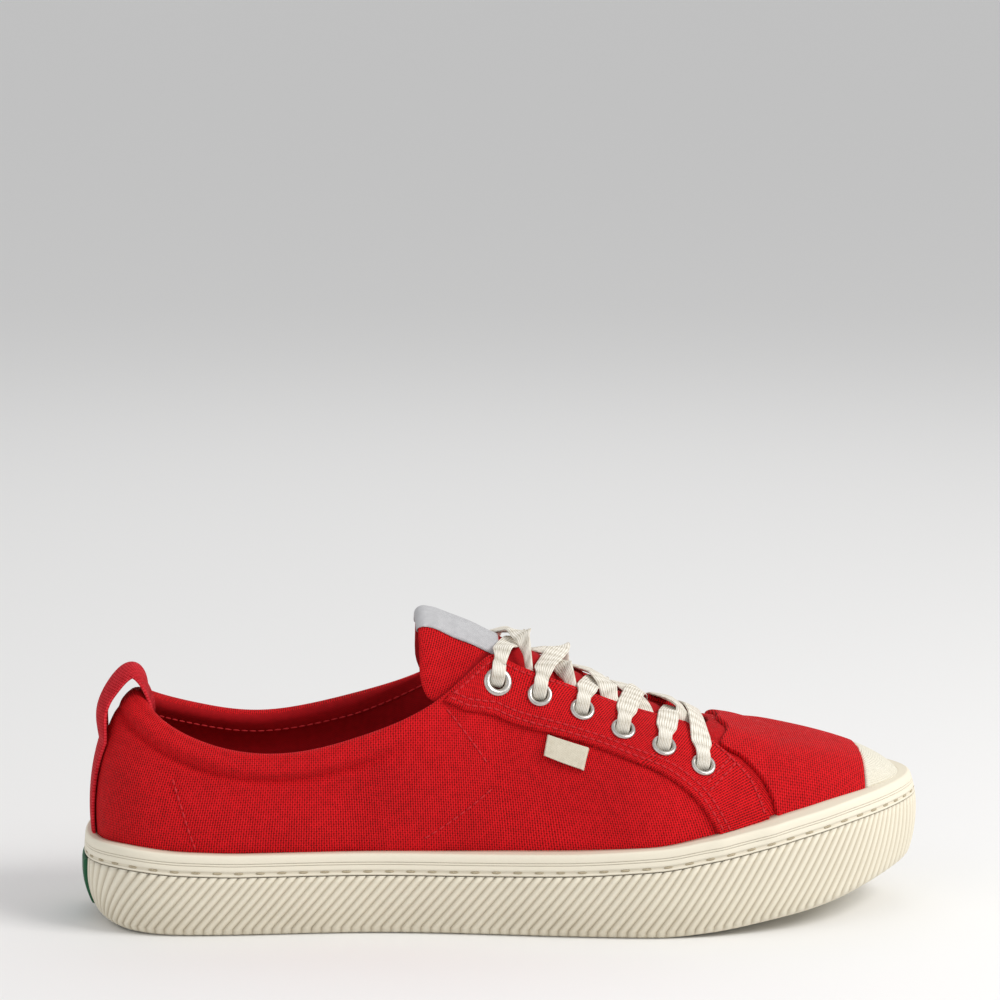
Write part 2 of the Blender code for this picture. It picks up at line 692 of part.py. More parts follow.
def cap_ends():
    """Shares where the toe cap's edge goes down behind the band, on the outer and inner side."""
    ends = []
    for side in (LATERAL, MEDIAL):
        height = side_top(CAP_LINE_X * SHOE_LENGTH) - HEM_BELOW_BAND / 2
        ends.append(locate((CAP_LINE_X + 0.003) * SHOE_LENGTH, height, side)[0])
    return ends


def hem_climb(shares):
    """Where an overlay ends, behind the band."""
    return climb_to(shares, side_top(outline(shares)[..., 0]) - HEM_BELOW_BAND)


def make_toe_cap(material):
    lateral_end, medial_end = cap_ends()
    shares = np.linspace(lateral_end, medial_end, 17)
    top = cap_line(shares, 0.0)
    bottom = np.stack([shares, np.minimum(hem_climb(shares), top[:, 1] - 0.02)], axis=-1)
    return laid("toe_cap", bottom, top, 5, SEAT, OVERLAY, material)


def make_vamp(material):
    """Canvas over the forefoot, from the groove at the eyestays to the toe cap."""
    count = 19
    rear = {}
    for side in (LATERAL, MEDIAL):
        spots = [Spot(spot.x + VAMP_GROOVE / SHOE_LENGTH, spot.z) for spot in LEG_FRONT_EDGE]
        rear[side] = locate_spots(spots, side)
        rear[side].append(np.array([rear[side][-1][0], hem_climb(np.array(rear[side][-1][0]))]))
    crown = 1 - 2.5 * lip_radius(np.array(TOE)) / column_length(np.array(TOE))
    behind = trail(rear[LATERAL][::-1] + [np.array([TOE, crown])] + rear[MEDIAL], count)
    lateral_end, medial_end = cap_ends()
    shares = np.linspace(lateral_end, medial_end, 15)
    line = list(cap_line(shares, 2 * GAP))
    low = [np.array([end, float(hem_climb(np.array(end)))]) for end in (lateral_end, medial_end)]
    step = 2 * GAP / PERIMETER
    low[0][0] -= 2 * step
    low[1][0] += 2 * step
    line[0][0] -= step
    line[-1][0] += step
    ahead = trail([low[0]] + line + [low[1]], count)
    return laid("vamp", behind, ahead, 6, SEAT, OVERLAY, material)


def eyelet_places(side):
    return locate_spots(EYELETS, side)


def eyelet_frame(place):
    """A matrix at an eyelet: its Z axis points out of the shoe, its origin lies on the upper."""
    middle = Vector(skin(*place))
    away = Vector(skin_normal(*place))
    return Matrix.Translation(middle) @ away.to_track_quat("Z", "Y").to_matrix().to_4x4()


def make_eyelet(name, place, width, material):
    """A flanged ring through eyestay and upper."""
    frame = eyelet_frame(place)
    seat = SEAT + OVERLAY + GAP
    bore, rim = EYELET_BORE / 2, width / 2
    foot = -BARREL_DEPTH
    profile = [
        (bore, foot),
        (bore, seat + FLANGE_HEIGHT),
        (rim, seat),
        (bore + EYELET_METAL, seat),
        (bore + EYELET_METAL, foot),
    ]
    rings = []
    for i in range(EYELET_SIDES):
        turn = 2 * math.pi * i / EYELET_SIDES
        rings.append([frame @ Vector((radius * math.cos(turn), radius * math.sin(turn), height))
                      for radius, height in profile])
    return knit(name, rings, material, joined=True)


def make_hole_cutter(name, places):
    """Round punches that clear the eyelets' barrels, as one hidden object."""
    punches = bmesh.new()
    radius = EYELET_BORE / 2 + EYELET_METAL + GAP
    for place in places:
        bmesh.ops.create_cone(punches, cap_ends=True, segments=EYELET_SIDES, radius1=radius,
                              radius2=radius, depth=PUNCH_DEPTH, matrix=eyelet_frame(place))
    data = bpy.data.meshes.new(name)
    punches.to_mesh(data)
    punches.free()
    cutter = bpy.data.objects.new(name, data)
    cutter.hide_render = True
    cutter.display_type = "WIRE"
    bpy.context.scene.collection.objects.link(cutter)
    return cutter


def cut(piece, cutter):
    modifier = piece.modifiers.new("eyelet holes", "BOOLEAN")
    modifier.operation = "DIFFERENCE"
    modifier.object = cutter


def make_tab(material):
    """Small blank tab that hangs from the eyestay's lower edge."""
    corners = [np.array(place) for place in locate_spots(TAB_CORNERS, LATERAL)]
    first = np.linspace(corners[0], corners[3], 3)
    second = np.linspace(corners[1], corners[2], 3)
    return laid("side_tab", first, second, 4, SEAT, TAB_THICKNESS, material)


def make_heel_strip(material):
    """Tape up the back of the heel that leaves the upper as a pull loop and ends inside the collar."""
    across = np.linspace(-1, 1, 5)
    start = float(side_top(0.0)) - HEM_BELOW_BAND
    leave = LOOP_ROUTE[0].z * THROAT_HEIGHT - 9 * MM
    under, over = [], []
    lift = np.full(across.shape, SEAT)
    for height in np.linspace(start, leave, 5):
        places = np.array([heel_place(share * STRIP_WIDTH / 2, height) for share in across])
        under.append(off_skin(places[:, 0], places[:, 1], lift))
        over.append(off_skin(places[:, 0], places[:, 1], lift + OVERLAY))
    bowl = under[-1][:, 0] - under[-1][2, 0]
    ends_under, ends_over = inner_rows(across * LOOP_WIDTH / 2)
    end_bowl = ends_under[0][:, 0] - ends_under[0][2, 0]
    route = [(under[-1][2, 0], under[-1][2, 2])]
    route += [(spot.x * SHOE_LENGTH, spot.z * THROAT_HEIGHT) for spot in LOOP_ROUTE]
    route.append((ends_under[0][2, 0], ends_under[0][2, 2]))
    tangents = unit(np.gradient(np.array(route), axis=0))
    last = len(route) - 2
    for i in range(1, last + 1):
        bend = bowl * (1 - fade(i, 0, 3)) + end_bowl * fade(i, last - 2, last + 1)
        half = (STRIP_WIDTH + (LOOP_WIDTH - STRIP_WIDTH) * fade(i, 0, 3)) / 2
        row = np.stack([route[i][0] + bend, across * half, np.full(across.shape, route[i][1])], axis=-1)
        under.append(row)
        over.append(row + np.array([-tangents[i][1], 0, tangents[i][0]]) * OVERLAY)
    return slab("heel_strip", under + ends_under, over + ends_over, material)


def inner_rows(sideways):
    """The loop's sewn end: rows of points down the inside of the collar at the heel."""
    heel_length = float(column_length(np.array(HEEL)))
    lip = float(lip_radius(np.array(HEEL)))
    under, over = [], []
    for down in (lip, (lip + LOOP_TAIL) / 2, LOOP_TAIL):
        climb = 1 - down / heel_length
        shares = np.linspace(-0.05, 0.05, 81)
        climbs = np.full(shares.shape, climb)
        depth = COLLAR_PAD + LOOP_SEAT
        near = off_skin(shares, climbs, np.full(shares.shape, -depth))
        deep = off_skin(shares, climbs, np.full(shares.shape, -depth - OVERLAY))
        for rows, points in ((under, near), (over, deep)):
            order = np.argsort(points[:, 1])
            columns = [np.interp(sideways, points[order, 1], points[order, i]) for i in range(3)]
            rows.append(np.stack(columns, axis=-1))
    return under, over


def heel_place(y, height):
    """The share and climb of the point of the heel at a distance to the side and a height."""
    place = np.array([-y / PERIMETER, 0.5])
    step = 0.0005
    target = np.array([y, height])
    for _ in range(20):
        here = skin(*place)[1:]
        along = (skin(place[0] + step, place[1])[1:] - here) / step
        upwards = (skin(place[0], place[1] + step)[1:] - here) / step
        move = np.linalg.solve(np.stack([along, upwards], axis=1), target - here)
        place = place + np.clip(move, -0.1, 0.1)
    return place


tongue_at = run_curve([row.x for row in TONGUE_ROWS], [row[1:] for row in TONGUE_ROWS])


def tongue_top(x, y):
    """Height of the tongue's upper face, clear of the wall over it."""
    height, half_width, arch, _ = np.moveaxis(tongue_at(x / SHOE_LENGTH), -1, 0)
    drop = arch * THROAT_HEIGHT * np.abs(y / (half_width * BALL_WIDTH)) ** ARCH_POWER
    return height * THROAT_HEIGHT - WALL - GAP - drop


def tongue_point(x, y, height):
    """A point at a height over the tongue's face."""
    step = 0.1 * MM
    slope_x = (tongue_top(x + step, y) - tongue_top(x - step, y)) / (2 * step)
    slope_y = (tongue_top(x, y + step) - tongue_top(x, y - step)) / (2 * step)
    away = unit(np.stack([-slope_x, -slope_y, np.ones(np.shape(x))], axis=-1))
    point = np.stack([x, y, tongue_top(x, y)], axis=-1)
    return point + away * np.asarray(height, float)[..., None]


def make_tongue(material):
    """Padded tongue, arched over the instep and thinner towards its sides and its root."""
    across = np.sin(np.linspace(-math.pi / 2, math.pi / 2, 9))
    under, over = [], []
    for x_share in np.linspace(TONGUE_ROWS[0].x, TONGUE_ROWS[-1].x, 15):
        x = np.full(across.shape, x_share * SHOE_LENGTH)
        row = tongue_at(x_share)
        y = across * row[1] * BALL_WIDTH
        thickness = TONGUE_THICKNESS * row[3] * (1 - 0.55 * across ** 2)
        over.append(tongue_point(x, y, np.zeros(across.shape)))
        under.append(tongue_point(x, y, -thickness))
    return slab("tongue", under, over, material)


def make_label(material):
    """Blank satin ribbon on the tongue's top."""
    start = TONGUE_ROWS[0].x * SHOE_LENGTH + 1.5 * MM
    across = np.linspace(-LABEL_WIDTH / 2, LABEL_WIDTH / 2, 5)
    under, over = [], []
    for x_place in np.linspace(start, start + LABEL_LENGTH, 5):
        x = np.full(across.shape, x_place)
        under.append(tongue_point(x, across, np.full(across.shape, SEAT)))
        over.append(tongue_point(x, across, np.full(across.shape, SEAT + RIBBON)))
    return slab("tongue_label", under, over, material)


def trees_of(pieces):
    """Search trees over finished pieces, with their modifiers applied."""
    graph = bpy.context.evaluated_depsgraph_get()
    return [BVHTree.FromObject(piece, graph) for piece in pieces]


def height_under(trees, x, y):
    """The highest surface under a point in the plan."""
    hits = [tree.ray_cast(Vector((x, y, 2 * THROAT_HEIGHT)), Vector((0, 0, -1)))[0] for tree in trees]
    return max(hit.z for hit in hits if hit is not None)


class LaceRun:
    """A taut flat lace between two places in the plan that lies on whatever is under it."""

    def __init__(self, start, end, trees):
        self.start, self.end = np.array(start), np.array(end)
        along = unit(self.end - self.start)
        self.aside = np.array([-along[1], along[0]]) * LACE_WIDTH / 2
        self.shares = np.linspace(0, 1, 49)
        hands = np.linspace(-1, 1, 5)
        found = np.array([[height_under(trees, *self.plan(share, hand)) for share in self.shares]
                          for hand in hands])
        level = found[0] + (found[-1] - found[0]) * (hands[:, None] + 1) / 2
        excess = np.max(found - level, axis=0)
        self.heights = {-1: found[0] + excess, 1: found[-1] + excess}
        for line in self.heights.values():
            for _ in range(400):
                line[1:-1] = np.maximum(line[1:-1], (line[:-2] + line[2:]) / 2)
        step = np.linalg.norm(self.end - self.start) / (len(self.shares) - 1)
        self.steepness = {hand: np.hypot(1, np.gradient(line, step)) for hand, line in self.heights.items()}

    def plan(self, share, hand):
        """The place at a share of the run, on its left, middle or right line."""
        return self.start + (self.end - self.start) * share + self.aside * hand

    def point(self, share, hand, height):
        """A point at a height over what the run lies on, measured square to its slope."""
        level = np.interp(share, self.shares, self.heights[hand])
        steepness = np.interp(share, self.shares, self.steepness[hand])
        return np.append(self.plan(share, hand), level + height * steepness)


def seat(mesh, under_faces, trees):
    """Move a mesh up or down until its underside just clears what it lies on."""
    steps = 7
    short = -THROAT_HEIGHT
    for face in under_faces:
        first, second, third = [vertex.co for vertex in face.verts]
        for i in range(steps + 1):
            for j in range(steps + 1 - i):
                point = first + (second - first) * i / steps + (third - first) * j / steps
                short = max(short, height_under(trees, point.x, point.y) - point.z)
    bmesh.ops.translate(mesh, verts=mesh.verts, vec=(0, 0, short + LACE_LIFT))


def ribbon_faces(mesh, before, here):
    """A step of a flat lace between two rows, each a left and a right pair of low and high points."""
    for layer in (0, 1):
        mesh.faces.new((before[0][layer], before[1][layer], here[1][layer]))
        mesh.faces.new((before[0][layer], here[1][layer], here[0][layer]))
    for edge in (0, 1):
        mesh.faces.new((before[edge][0], before[edge][1], here[edge][1], here[edge][0]))


def ribbon_end(mesh, row):
    mesh.faces.new((row[0][0], row[0][1], row[1][1], row[1][0]))


def underside_of(mesh, low):
    """The faces whose corners all belong to the lower layer."""
    return [face for face in mesh.faces if all(vertex in low for vertex in face.verts)]


def make_lace_bar(start, end, trees, material):
    run = LaceRun(start, end, trees)
    mesh = bmesh.new()
    rows = [[[mesh.verts.new(run.point(share, hand, layer * LACE_THICKNESS)) for layer in (0, 1)]
             for hand in (-1, 1)] for share in np.linspace(0, 1, 8)]
    for before, here in zip(rows, rows[1:]):
        ribbon_faces(mesh, before, here)
    ribbon_end(mesh, rows[0])
    ribbon_end(mesh, rows[-1])
    low = {pair[0] for row in rows for pair in row}
    seat(mesh, underside_of(mesh, low), trees)
    return settle("lace_bar", mesh, material)


def make_crossing(name, ends, trees, material, rows=4):
    """Two laces that cross, as one solid: a middle and four arms that end beside their eyelets."""
    runs = [LaceRun(start, end, trees) for start, end in ends]
    mesh = bmesh.new()
    meets = {}
    for first in (-1, 1):
        for second in (-1, 1):
            spans = np.stack([runs[0].end - runs[0].start, runs[1].start - runs[1].end], axis=1)
            offset = runs[1].plan(0, second) - runs[0].plan(0, first)
            meets[first, second] = np.linalg.solve(spans, offset)
    arms = []
    for index, run in enumerate(runs):
        other = {hand: sorted((meets[key][index], key) for key in meets if key[index] == hand)
                 for hand in (-1, 1)}
        arms.append((run, [other[hand][0] for hand in (-1, 1)], (0.0, 0.0)))
        starts = [other[hand][1] for hand in (-1, 1)]
        stop = LACE_FAR_SHARE / LACE_REACH
        arms.append((run, starts, [max(stop, share + 0.02) for share, _ in starts]))
    corners = {}
    thick = np.array([0, 0, LACE_THICKNESS])
    for key, shares in meets.items():
        level = max((run.point(shares[i], key[i], 0) for i, run in enumerate(runs)),
                    key=lambda point: point[2])
        corners[key] = [mesh.verts.new(level), mesh.verts.new(level + thick)]
    low = {pair[0] for pair in corners.values()}
    middle = sum(np.array(corner[0].co) for corner in corners.values()) / 4
    middle[2] = max(middle[2], height_under(trees, middle[0], middle[1]))
    order = [(-1, -1), (-1, 1), (1, 1), (1, -1)]
    for layer in (0, 1):
        centre = mesh.verts.new(middle + thick * layer)
        if layer == 0:
            low.add(centre)
        for key, after in zip(order, order[1:] + order[:1]):
            mesh.faces.new((corners[key][layer], corners[after][layer], centre))
    for run, starts, goals in arms:
        before = [corners[key] for _, key in starts]
        for row in range(1, rows + 1):
            here = []
            for (share, _), hand, goal in zip(starts, (-1, 1), goals):
                at = share + (goal - share) * row / rows
                here.append([mesh.verts.new(run.point(at, hand, layer * LACE_THICKNESS)) for layer in (0, 1)])
                low.add(here[-1][0])
            ribbon_faces(mesh, before, here)
            before = here
        ribbon_end(mesh, before)
    seat(mesh, underside_of(mesh, low), trees)
    return settle(name, mesh, material)


def make_laces(trees, material):
    """The bar at the front and five crossings between the eyelets."""
    outer = [skin(*place)[:2] for place in eyelet_places(LATERAL)]
    inner = [skin(*place)[:2] for place in eyelet_places(MEDIAL)]
    for i in range(len(outer) - 1):
        ends = []
        for start, end in ((outer[i], inner[i + 1]), (inner[i], outer[i + 1])):
            beside = (EYELET_WIDTH / 2 + 1 * MM) / np.linalg.norm(end - start)
            ends.append((start + (end - start) * beside, start + (end - start) * LACE_REACH))
        crossing = make_crossing(f"lace_cross_{i + 1}", ends, trees, material)
    reach = inner[-1] - outer[-1]
    aside = reach / np.linalg.norm(reach) * (EYELET_WIDTH / 2 + 0.7 * MM)
    make_lace_bar(outer[-1] + aside, inner[-1] - aside, trees + trees_of([crossing]), material)


def main():
    for old in list(bpy.data.objects):
        bpy.data.objects.remove(old)
    rubber = finish("ivory rubber", 232, 228, 212, 0.55)
    green = finish("green rubber", 20, 92, 58, 0.5)
    canvas = finish("red canvas", 190, 18, 32, 0.85)
    lining = finish("red lining", 176, 16, 28, 0.8)
    tape = finish("cotton tape", 200, 40, 52, 0.85)
    cotton = finish("lace cotton", 220, 216, 206, 0.9)
    satin = finish("grey satin", 205, 205, 208, 0.4)
    nickel = finish("nickel", 190, 188, 182, 0.25, 1.0)

    make_outsole(rubber)
    make_band(rubber)
    make_heel_patch(green)
    make_insole(lining)
    upper = make_upper(canvas)
    vamp = make_vamp(canvas)
    make_toe_cap(rubber)
    make_heel_strip(tape)
    make_tab(rubber)
    tongue = make_tongue(canvas)
    under_lace = [upper, vamp, tongue, make_label(satin)]
    for side, side_name in ((LATERAL, "lateral"), (MEDIAL, "medial")):
        places = eyelet_places(side)
        cutter = make_hole_cutter(f"{side_name} punches", places)
        eyestay = make_eyestay(side, f"eyestay_{side_name}", canvas)
        under_lace.append(eyestay)
        for piece in (upper, eyestay):
            cut(piece, cutter)
        for i, place in enumerate(places):
            width = TOP_EYELET_WIDTH if i == 0 else EYELET_WIDTH
            under_lace.append(make_eyelet(f"eyelet_{side_name}_{i + 1}", place, width, nickel))
    make_laces(trees_of(under_lace), cotton)

    corners = [Vector(corner) for piece in bpy.data.objects if not piece.hide_render
               for corner in piece.bound_box]
    middle = [(min(corner[i] for corner in corners) + max(corner[i] for corner in corners)) / 2
              for i in range(2)]
    pieces = list(bpy.data.objects)
    sneaker = bpy.data.objects.new("sneaker", None)
    sneaker.location = (-middle[0], -middle[1], 0)
    bpy.context.scene.collection.objects.link(sneaker)
    for piece in pieces:
        piece.parent = sneaker


main()
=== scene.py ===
# %% [markdown]
# # A canvas sneaker, dressed for its picture
#
# The solids of the shoe come ready made from the frame. They have the right places and sizes, but they
# are plain. This lesson puts a detailed piece over each of them: woven canvas with its stitching, rubber
# with its ribs, metal eyelets and a flat cotton lace. Everything is in metres, the toe points along +X,
# the outer side of the foot is -Y and Z is up.

# %% Load the frame and keep its size
import json
import math
from collections import namedtuple
from contextlib import contextmanager

import bmesh
import bpy
import numpy as np
from mathutils import Matrix, Vector
from mathutils.bvhtree import BVHTree
from mathutils.kdtree import KDTree

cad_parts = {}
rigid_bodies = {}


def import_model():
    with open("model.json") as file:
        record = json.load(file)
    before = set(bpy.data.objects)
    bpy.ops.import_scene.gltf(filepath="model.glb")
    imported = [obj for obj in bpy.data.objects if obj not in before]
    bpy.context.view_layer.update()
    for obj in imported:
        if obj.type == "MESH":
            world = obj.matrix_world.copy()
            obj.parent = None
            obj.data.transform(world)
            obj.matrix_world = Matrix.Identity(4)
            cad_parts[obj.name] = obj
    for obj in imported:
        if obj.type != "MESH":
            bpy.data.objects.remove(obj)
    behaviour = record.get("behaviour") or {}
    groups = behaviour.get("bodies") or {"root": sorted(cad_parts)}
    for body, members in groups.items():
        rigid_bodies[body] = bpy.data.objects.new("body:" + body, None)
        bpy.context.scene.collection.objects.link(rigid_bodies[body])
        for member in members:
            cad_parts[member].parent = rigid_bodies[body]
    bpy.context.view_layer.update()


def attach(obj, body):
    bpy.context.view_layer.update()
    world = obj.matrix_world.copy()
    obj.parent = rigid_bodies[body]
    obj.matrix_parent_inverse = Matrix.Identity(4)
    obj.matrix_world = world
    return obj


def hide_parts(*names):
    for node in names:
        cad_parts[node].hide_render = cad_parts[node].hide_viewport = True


# a new Blender file holds a cube, a lamp and a camera that aren't wanted here
for thing in list(bpy.data.objects):
    bpy.data.objects.remove(thing)
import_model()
MM = 0.001

# %% [markdown]
# ## Sizes
#
# A shoe is drawn round a last, the foot-shaped block that it is sewn on. These are the sizes of the last
# and of the parts over it, the same ones that the solids were made from, so that each detailed piece
# lands exactly on its solid.

# %% Name the sizes
SHOE_LENGTH = 300 * MM
BALL_WIDTH = 104 * MM
THROAT_HEIGHT = 95.3 * MM
TOE_SPRING = 15.8 * MM
GAP = 0.3 * MM
SEAT = 0.6 * MM
SIDE_HEIGHT = 29.3 * MM
SOLE_THICKNESS = 15 * MM
EDGE_ROUND = 2.6 * MM
BAND_HEIGHT = 8 * MM
RIB_PITCH = 3.45 * MM
RIB_DEPTH = 0.9 * MM
RIB_LEAN = 16 * MM
INSOLE_THICKNESS = 4 * MM
PATCH_WIDTH = 26 * MM
PATCH_HEIGHT = 17 * MM
PATCH_THICKNESS = 1.3 * MM
FOOT_INSET = 7.5 * MM
WALL = 2.2 * MM
OVERLAY = 1.2 * MM
COLLAR_PAD = 6.5 * MM
COLLAR_ROLL = 11.5 * MM
HEM_BELOW_BAND = 5 * MM
VAMP_GROOVE = 3 * MM
STRIP_WIDTH = 21 * MM
LOOP_WIDTH = 16 * MM
LOOP_SEAT = 1.5 * MM
LOOP_TAIL = 12 * MM
TONGUE_THICKNESS = 5 * MM
LABEL_WIDTH = 22 * MM
LABEL_LENGTH = 27 * MM
EYELET_WIDTH = 9 * MM
TOP_EYELET_WIDTH = 10.4 * MM
EYELET_BORE = 5.4 * MM
FLANGE_HEIGHT = 0.9 * MM
LACE_WIDTH = 7.6 * MM
LACE_THICKNESS = 1.2 * MM
CAP_LINE_X = 0.921
CAP_LINE_BOW = 0.006
CAP_RIB_PITCH = 0.9 * MM
LATERAL = -1
MEDIAL = 1
SIDES = ((LATERAL, "lateral"), (MEDIAL, "medial"))
HEEL = 0.0
# the middle of the shoe's box, which the frame puts at the origin
MIDDLE = np.array([149.4116, -1.0438, 0.0]) * MM
print("the shoe is", SHOE_LENGTH / MM, "mm long")

# %% [markdown]
# ## The last
#
# Each row of this table is one line of the shoe that climbs from the sole to the edge of the opening.
# The lines run from the heel along the outer side to the toe, and back along the inner side. x is in shoe
# lengths, y, flare and over in ball widths, edge_z in throat heights, rise and drop in line heights.

# %% Tables of the last, the sole and the tongue
Section = namedtuple("Section", "x y edge_x edge_y edge_z flare rise over drop")
SECTIONS = [Section(*row) for row in (
    (0.000, 0.000, 0.063, 0.000, 0.860, 0.072, 0.34, 0.135, 0.18),
    (0.013, -0.202, 0.072, -0.096, 0.834, 0.070, 0.34, 0.125, 0.18),
    (0.047, -0.317, 0.095, -0.173, 0.774, 0.062, 0.34, 0.101, 0.20),
    (0.117, -0.375, 0.147, -0.264, 0.703, 0.053, 0.37, 0.072, 0.21),
    (0.233, -0.378, 0.240, -0.308, 0.667, 0.048, 0.40, 0.043, 0.22),
    (0.343, -0.377, 0.337, -0.301, 0.737, 0.043, 0.38, 0.043, 0.25),
    (0.417, -0.400, 0.415, -0.272, 0.850, 0.034, 0.38, 0.063, 0.27),
    (0.478, -0.430, 0.469, -0.188, 0.976, 0.024, 0.36, 0.087, 0.25),
    (0.495, -0.439, 0.484, -0.165, 1.000, 0.024, 0.36, 0.087, 0.25),
    (0.513, -0.449, 0.499, -0.158, 0.982, 0.026, 0.36, 0.094, 0.24),
    (0.587, -0.484, 0.550, -0.154, 0.912, 0.038, 0.36, 0.135, 0.20),
    (0.673, -0.510, 0.630, -0.138, 0.804, 0.091, 0.45, 0.202, 0.13),
    (0.760, -0.493, 0.683, -0.130, 0.747, 0.077, 0.47, 0.212, 0.10),
    (0.847, -0.426, 0.717, -0.101, 0.709, 0.077, 0.55, 0.240, 0.10),
    (0.920, -0.308, 0.735, -0.063, 0.709, 0.080, 0.65, 0.327, 0.13),
    (0.970, -0.149, 0.742, -0.027, 0.711, 0.100, 0.78, 0.375, 0.22),
    (1.000, 0.053, 0.743, 0.008, 0.712, 0.140, 0.79, 0.375, 0.27),
    (0.977, 0.240, 0.741, 0.040, 0.711, 0.100, 0.78, 0.356, 0.22),
    (0.923, 0.385, 0.733, 0.075, 0.710, 0.080, 0.65, 0.317, 0.13),
    (0.840, 0.471, 0.717, 0.108, 0.712, 0.079, 0.55, 0.240, 0.10),
    (0.750, 0.490, 0.682, 0.135, 0.750, 0.077, 0.47, 0.212, 0.10),
    (0.657, 0.457, 0.623, 0.144, 0.815, 0.077, 0.45, 0.192, 0.12),
    (0.573, 0.396, 0.550, 0.159, 0.915, 0.034, 0.38, 0.125, 0.20),
    (0.513, 0.361, 0.499, 0.163, 0.984, 0.014, 0.36, 0.082, 0.25),
    (0.495, 0.355, 0.484, 0.169, 1.000, 0.014, 0.36, 0.082, 0.25),
    (0.478, 0.350, 0.469, 0.188, 0.978, 0.016, 0.36, 0.080, 0.25),
    (0.417, 0.335, 0.415, 0.255, 0.862, 0.038, 0.38, 0.043, 0.27),
    (0.340, 0.333, 0.337, 0.284, 0.772, 0.053, 0.38, 0.030, 0.25),
    (0.223, 0.360, 0.227, 0.293, 0.701, 0.053, 0.40, 0.040, 0.22),
    (0.113, 0.372, 0.145, 0.260, 0.734, 0.053, 0.37, 0.072, 0.21),
    (0.047, 0.317, 0.096, 0.176, 0.794, 0.062, 0.34, 0.101, 0.20),
    (0.013, 0.202, 0.072, 0.096, 0.839, 0.070, 0.34, 0.125, 0.18))]
TOE_ROW = 16
SoleRow = namedtuple("SoleRow", "x spring side floor")
SOLE_ROWS = [SoleRow(*row) for row in (
    (0.000, 0.16, 0.98, 1.00), (0.045, 0.05, 1.05, 1.00), (0.120, 0.00, 1.02, 1.00),
    (0.190, 0.00, 1.00, 1.00), (0.400, 0.00, 1.00, 0.90), (0.560, 0.00, 1.03, 0.78),
    (0.667, 0.00, 1.10, 0.73), (0.733, 0.09, 1.157, 0.70), (0.803, 0.28, 1.19, 0.66),
    (0.850, 0.42, 1.21, 0.64), (0.890, 0.58, 1.20, 0.62), (0.933, 0.78, 1.15, 0.60),
    (1.000, 1.00, 1.065, 0.58))]
TongueRow = namedtuple("TongueRow", "x height half_width arch padding")
TONGUE_ROWS = [TongueRow(*row) for row in (
    (0.397, 1.175, 0.234, 0.310, 0.80), (0.415, 1.165, 0.226, 0.300, 1.00),
    (0.433, 1.144, 0.214, 0.299, 1.00), (0.460, 1.110, 0.198, 0.255, 1.00),
    (0.483, 1.073, 0.182, 0.208, 0.95), (0.517, 1.026, 0.185, 0.210, 0.90),
    (0.550, 0.973, 0.196, 0.196, 0.85), (0.590, 0.911, 0.212, 0.191, 0.80),
    (0.630, 0.850, 0.231, 0.205, 0.80), (0.683, 0.788, 0.212, 0.176, 0.75),
    (0.720, 0.730, 0.202, 0.150, 0.65), (0.753, 0.694, 0.183, 0.130, 0.55),
    (0.787, 0.655, 0.173, 0.120, 0.50))]
ARCH_POWER = 2.3
Spot = namedtuple("Spot", "x z")
EYELETS = [Spot(*row) for row in (
    (0.487, 0.900), (0.537, 0.848), (0.586, 0.791), (0.633, 0.722), (0.680, 0.665), (0.725, 0.600))]
FACING_LOWER_EDGE = [Spot(*row) for row in (
    (0.424, 0.848), (0.456, 0.806), (0.495, 0.770), (0.539, 0.728), (0.594, 0.684), (0.639, 0.634),
    (0.672, 0.594), (0.698, 0.544), (0.715, 0.497), (0.728, 0.442), (0.743, 0.360))]
LEG_FRONT_EDGE = [Spot(*row) for row in (
    (0.742, 0.650), (0.762, 0.622), (0.781, 0.568), (0.794, 0.497), (0.803, 0.400))]
TAB_CORNERS = [Spot(*row) for row in (
    (0.545, 0.718), (0.593, 0.672), (0.586, 0.600), (0.540, 0.648))]
LOOP_ROUTE = [Spot(*row) for row in (
    (0.0185, 0.760), (0.0245, 0.825), (0.0375, 0.893), (0.0520, 0.943), (0.0640, 0.955), (0.0745, 0.925),
    (0.0790, 0.872))]
print(len(SECTIONS), "lines round the last")

# %% [markdown]
# ## Smooth curves through the tables
#
# A few rows are enough when a smooth curve is drawn through them. One helper makes closed curves, for
# what goes round the shoe, and one makes open curves that never overshoot, for what runs along it.

# %% Two kinds of curve
def round_curve(knots, values):
    """A smooth closed curve through values at knots from 0 to 1, as a function of the share."""
    knots = np.asarray(knots, float)
    values = np.asarray(values, float)
    count = len(knots)
    steps = np.diff(np.append(knots, 1.0))
    slopes = (np.roll(values, -1, axis=0) - values) / steps[:, None]
    matrix = np.zeros((count, count))
    for i in range(count):
        matrix[i, i - 1] += steps[i - 1]
        matrix[i, i] += 2 * (steps[i - 1] + steps[i])
        matrix[i, (i + 1) % count] += steps[i]
    bends = np.linalg.solve(matrix, 6 * (slopes - np.roll(slopes, 1, axis=0)))

    def curve(share):
        share = np.mod(np.asarray(share, float), 1.0)
        at = np.clip(np.searchsorted(knots, share, side="right") - 1, 0, count - 1)
        after = (at + 1) % count
        step = steps[at][..., None]
        back = (share - knots[at])[..., None]
        ahead = step - back
        bent = (bends[at] * ahead ** 3 + bends[after] * back ** 3) / (6 * step)
        low = (values[at] / step - bends[at] * step / 6) * ahead
        high = (values[after] / step - bends[after] * step / 6) * back
        return bent + low + high

    return curve


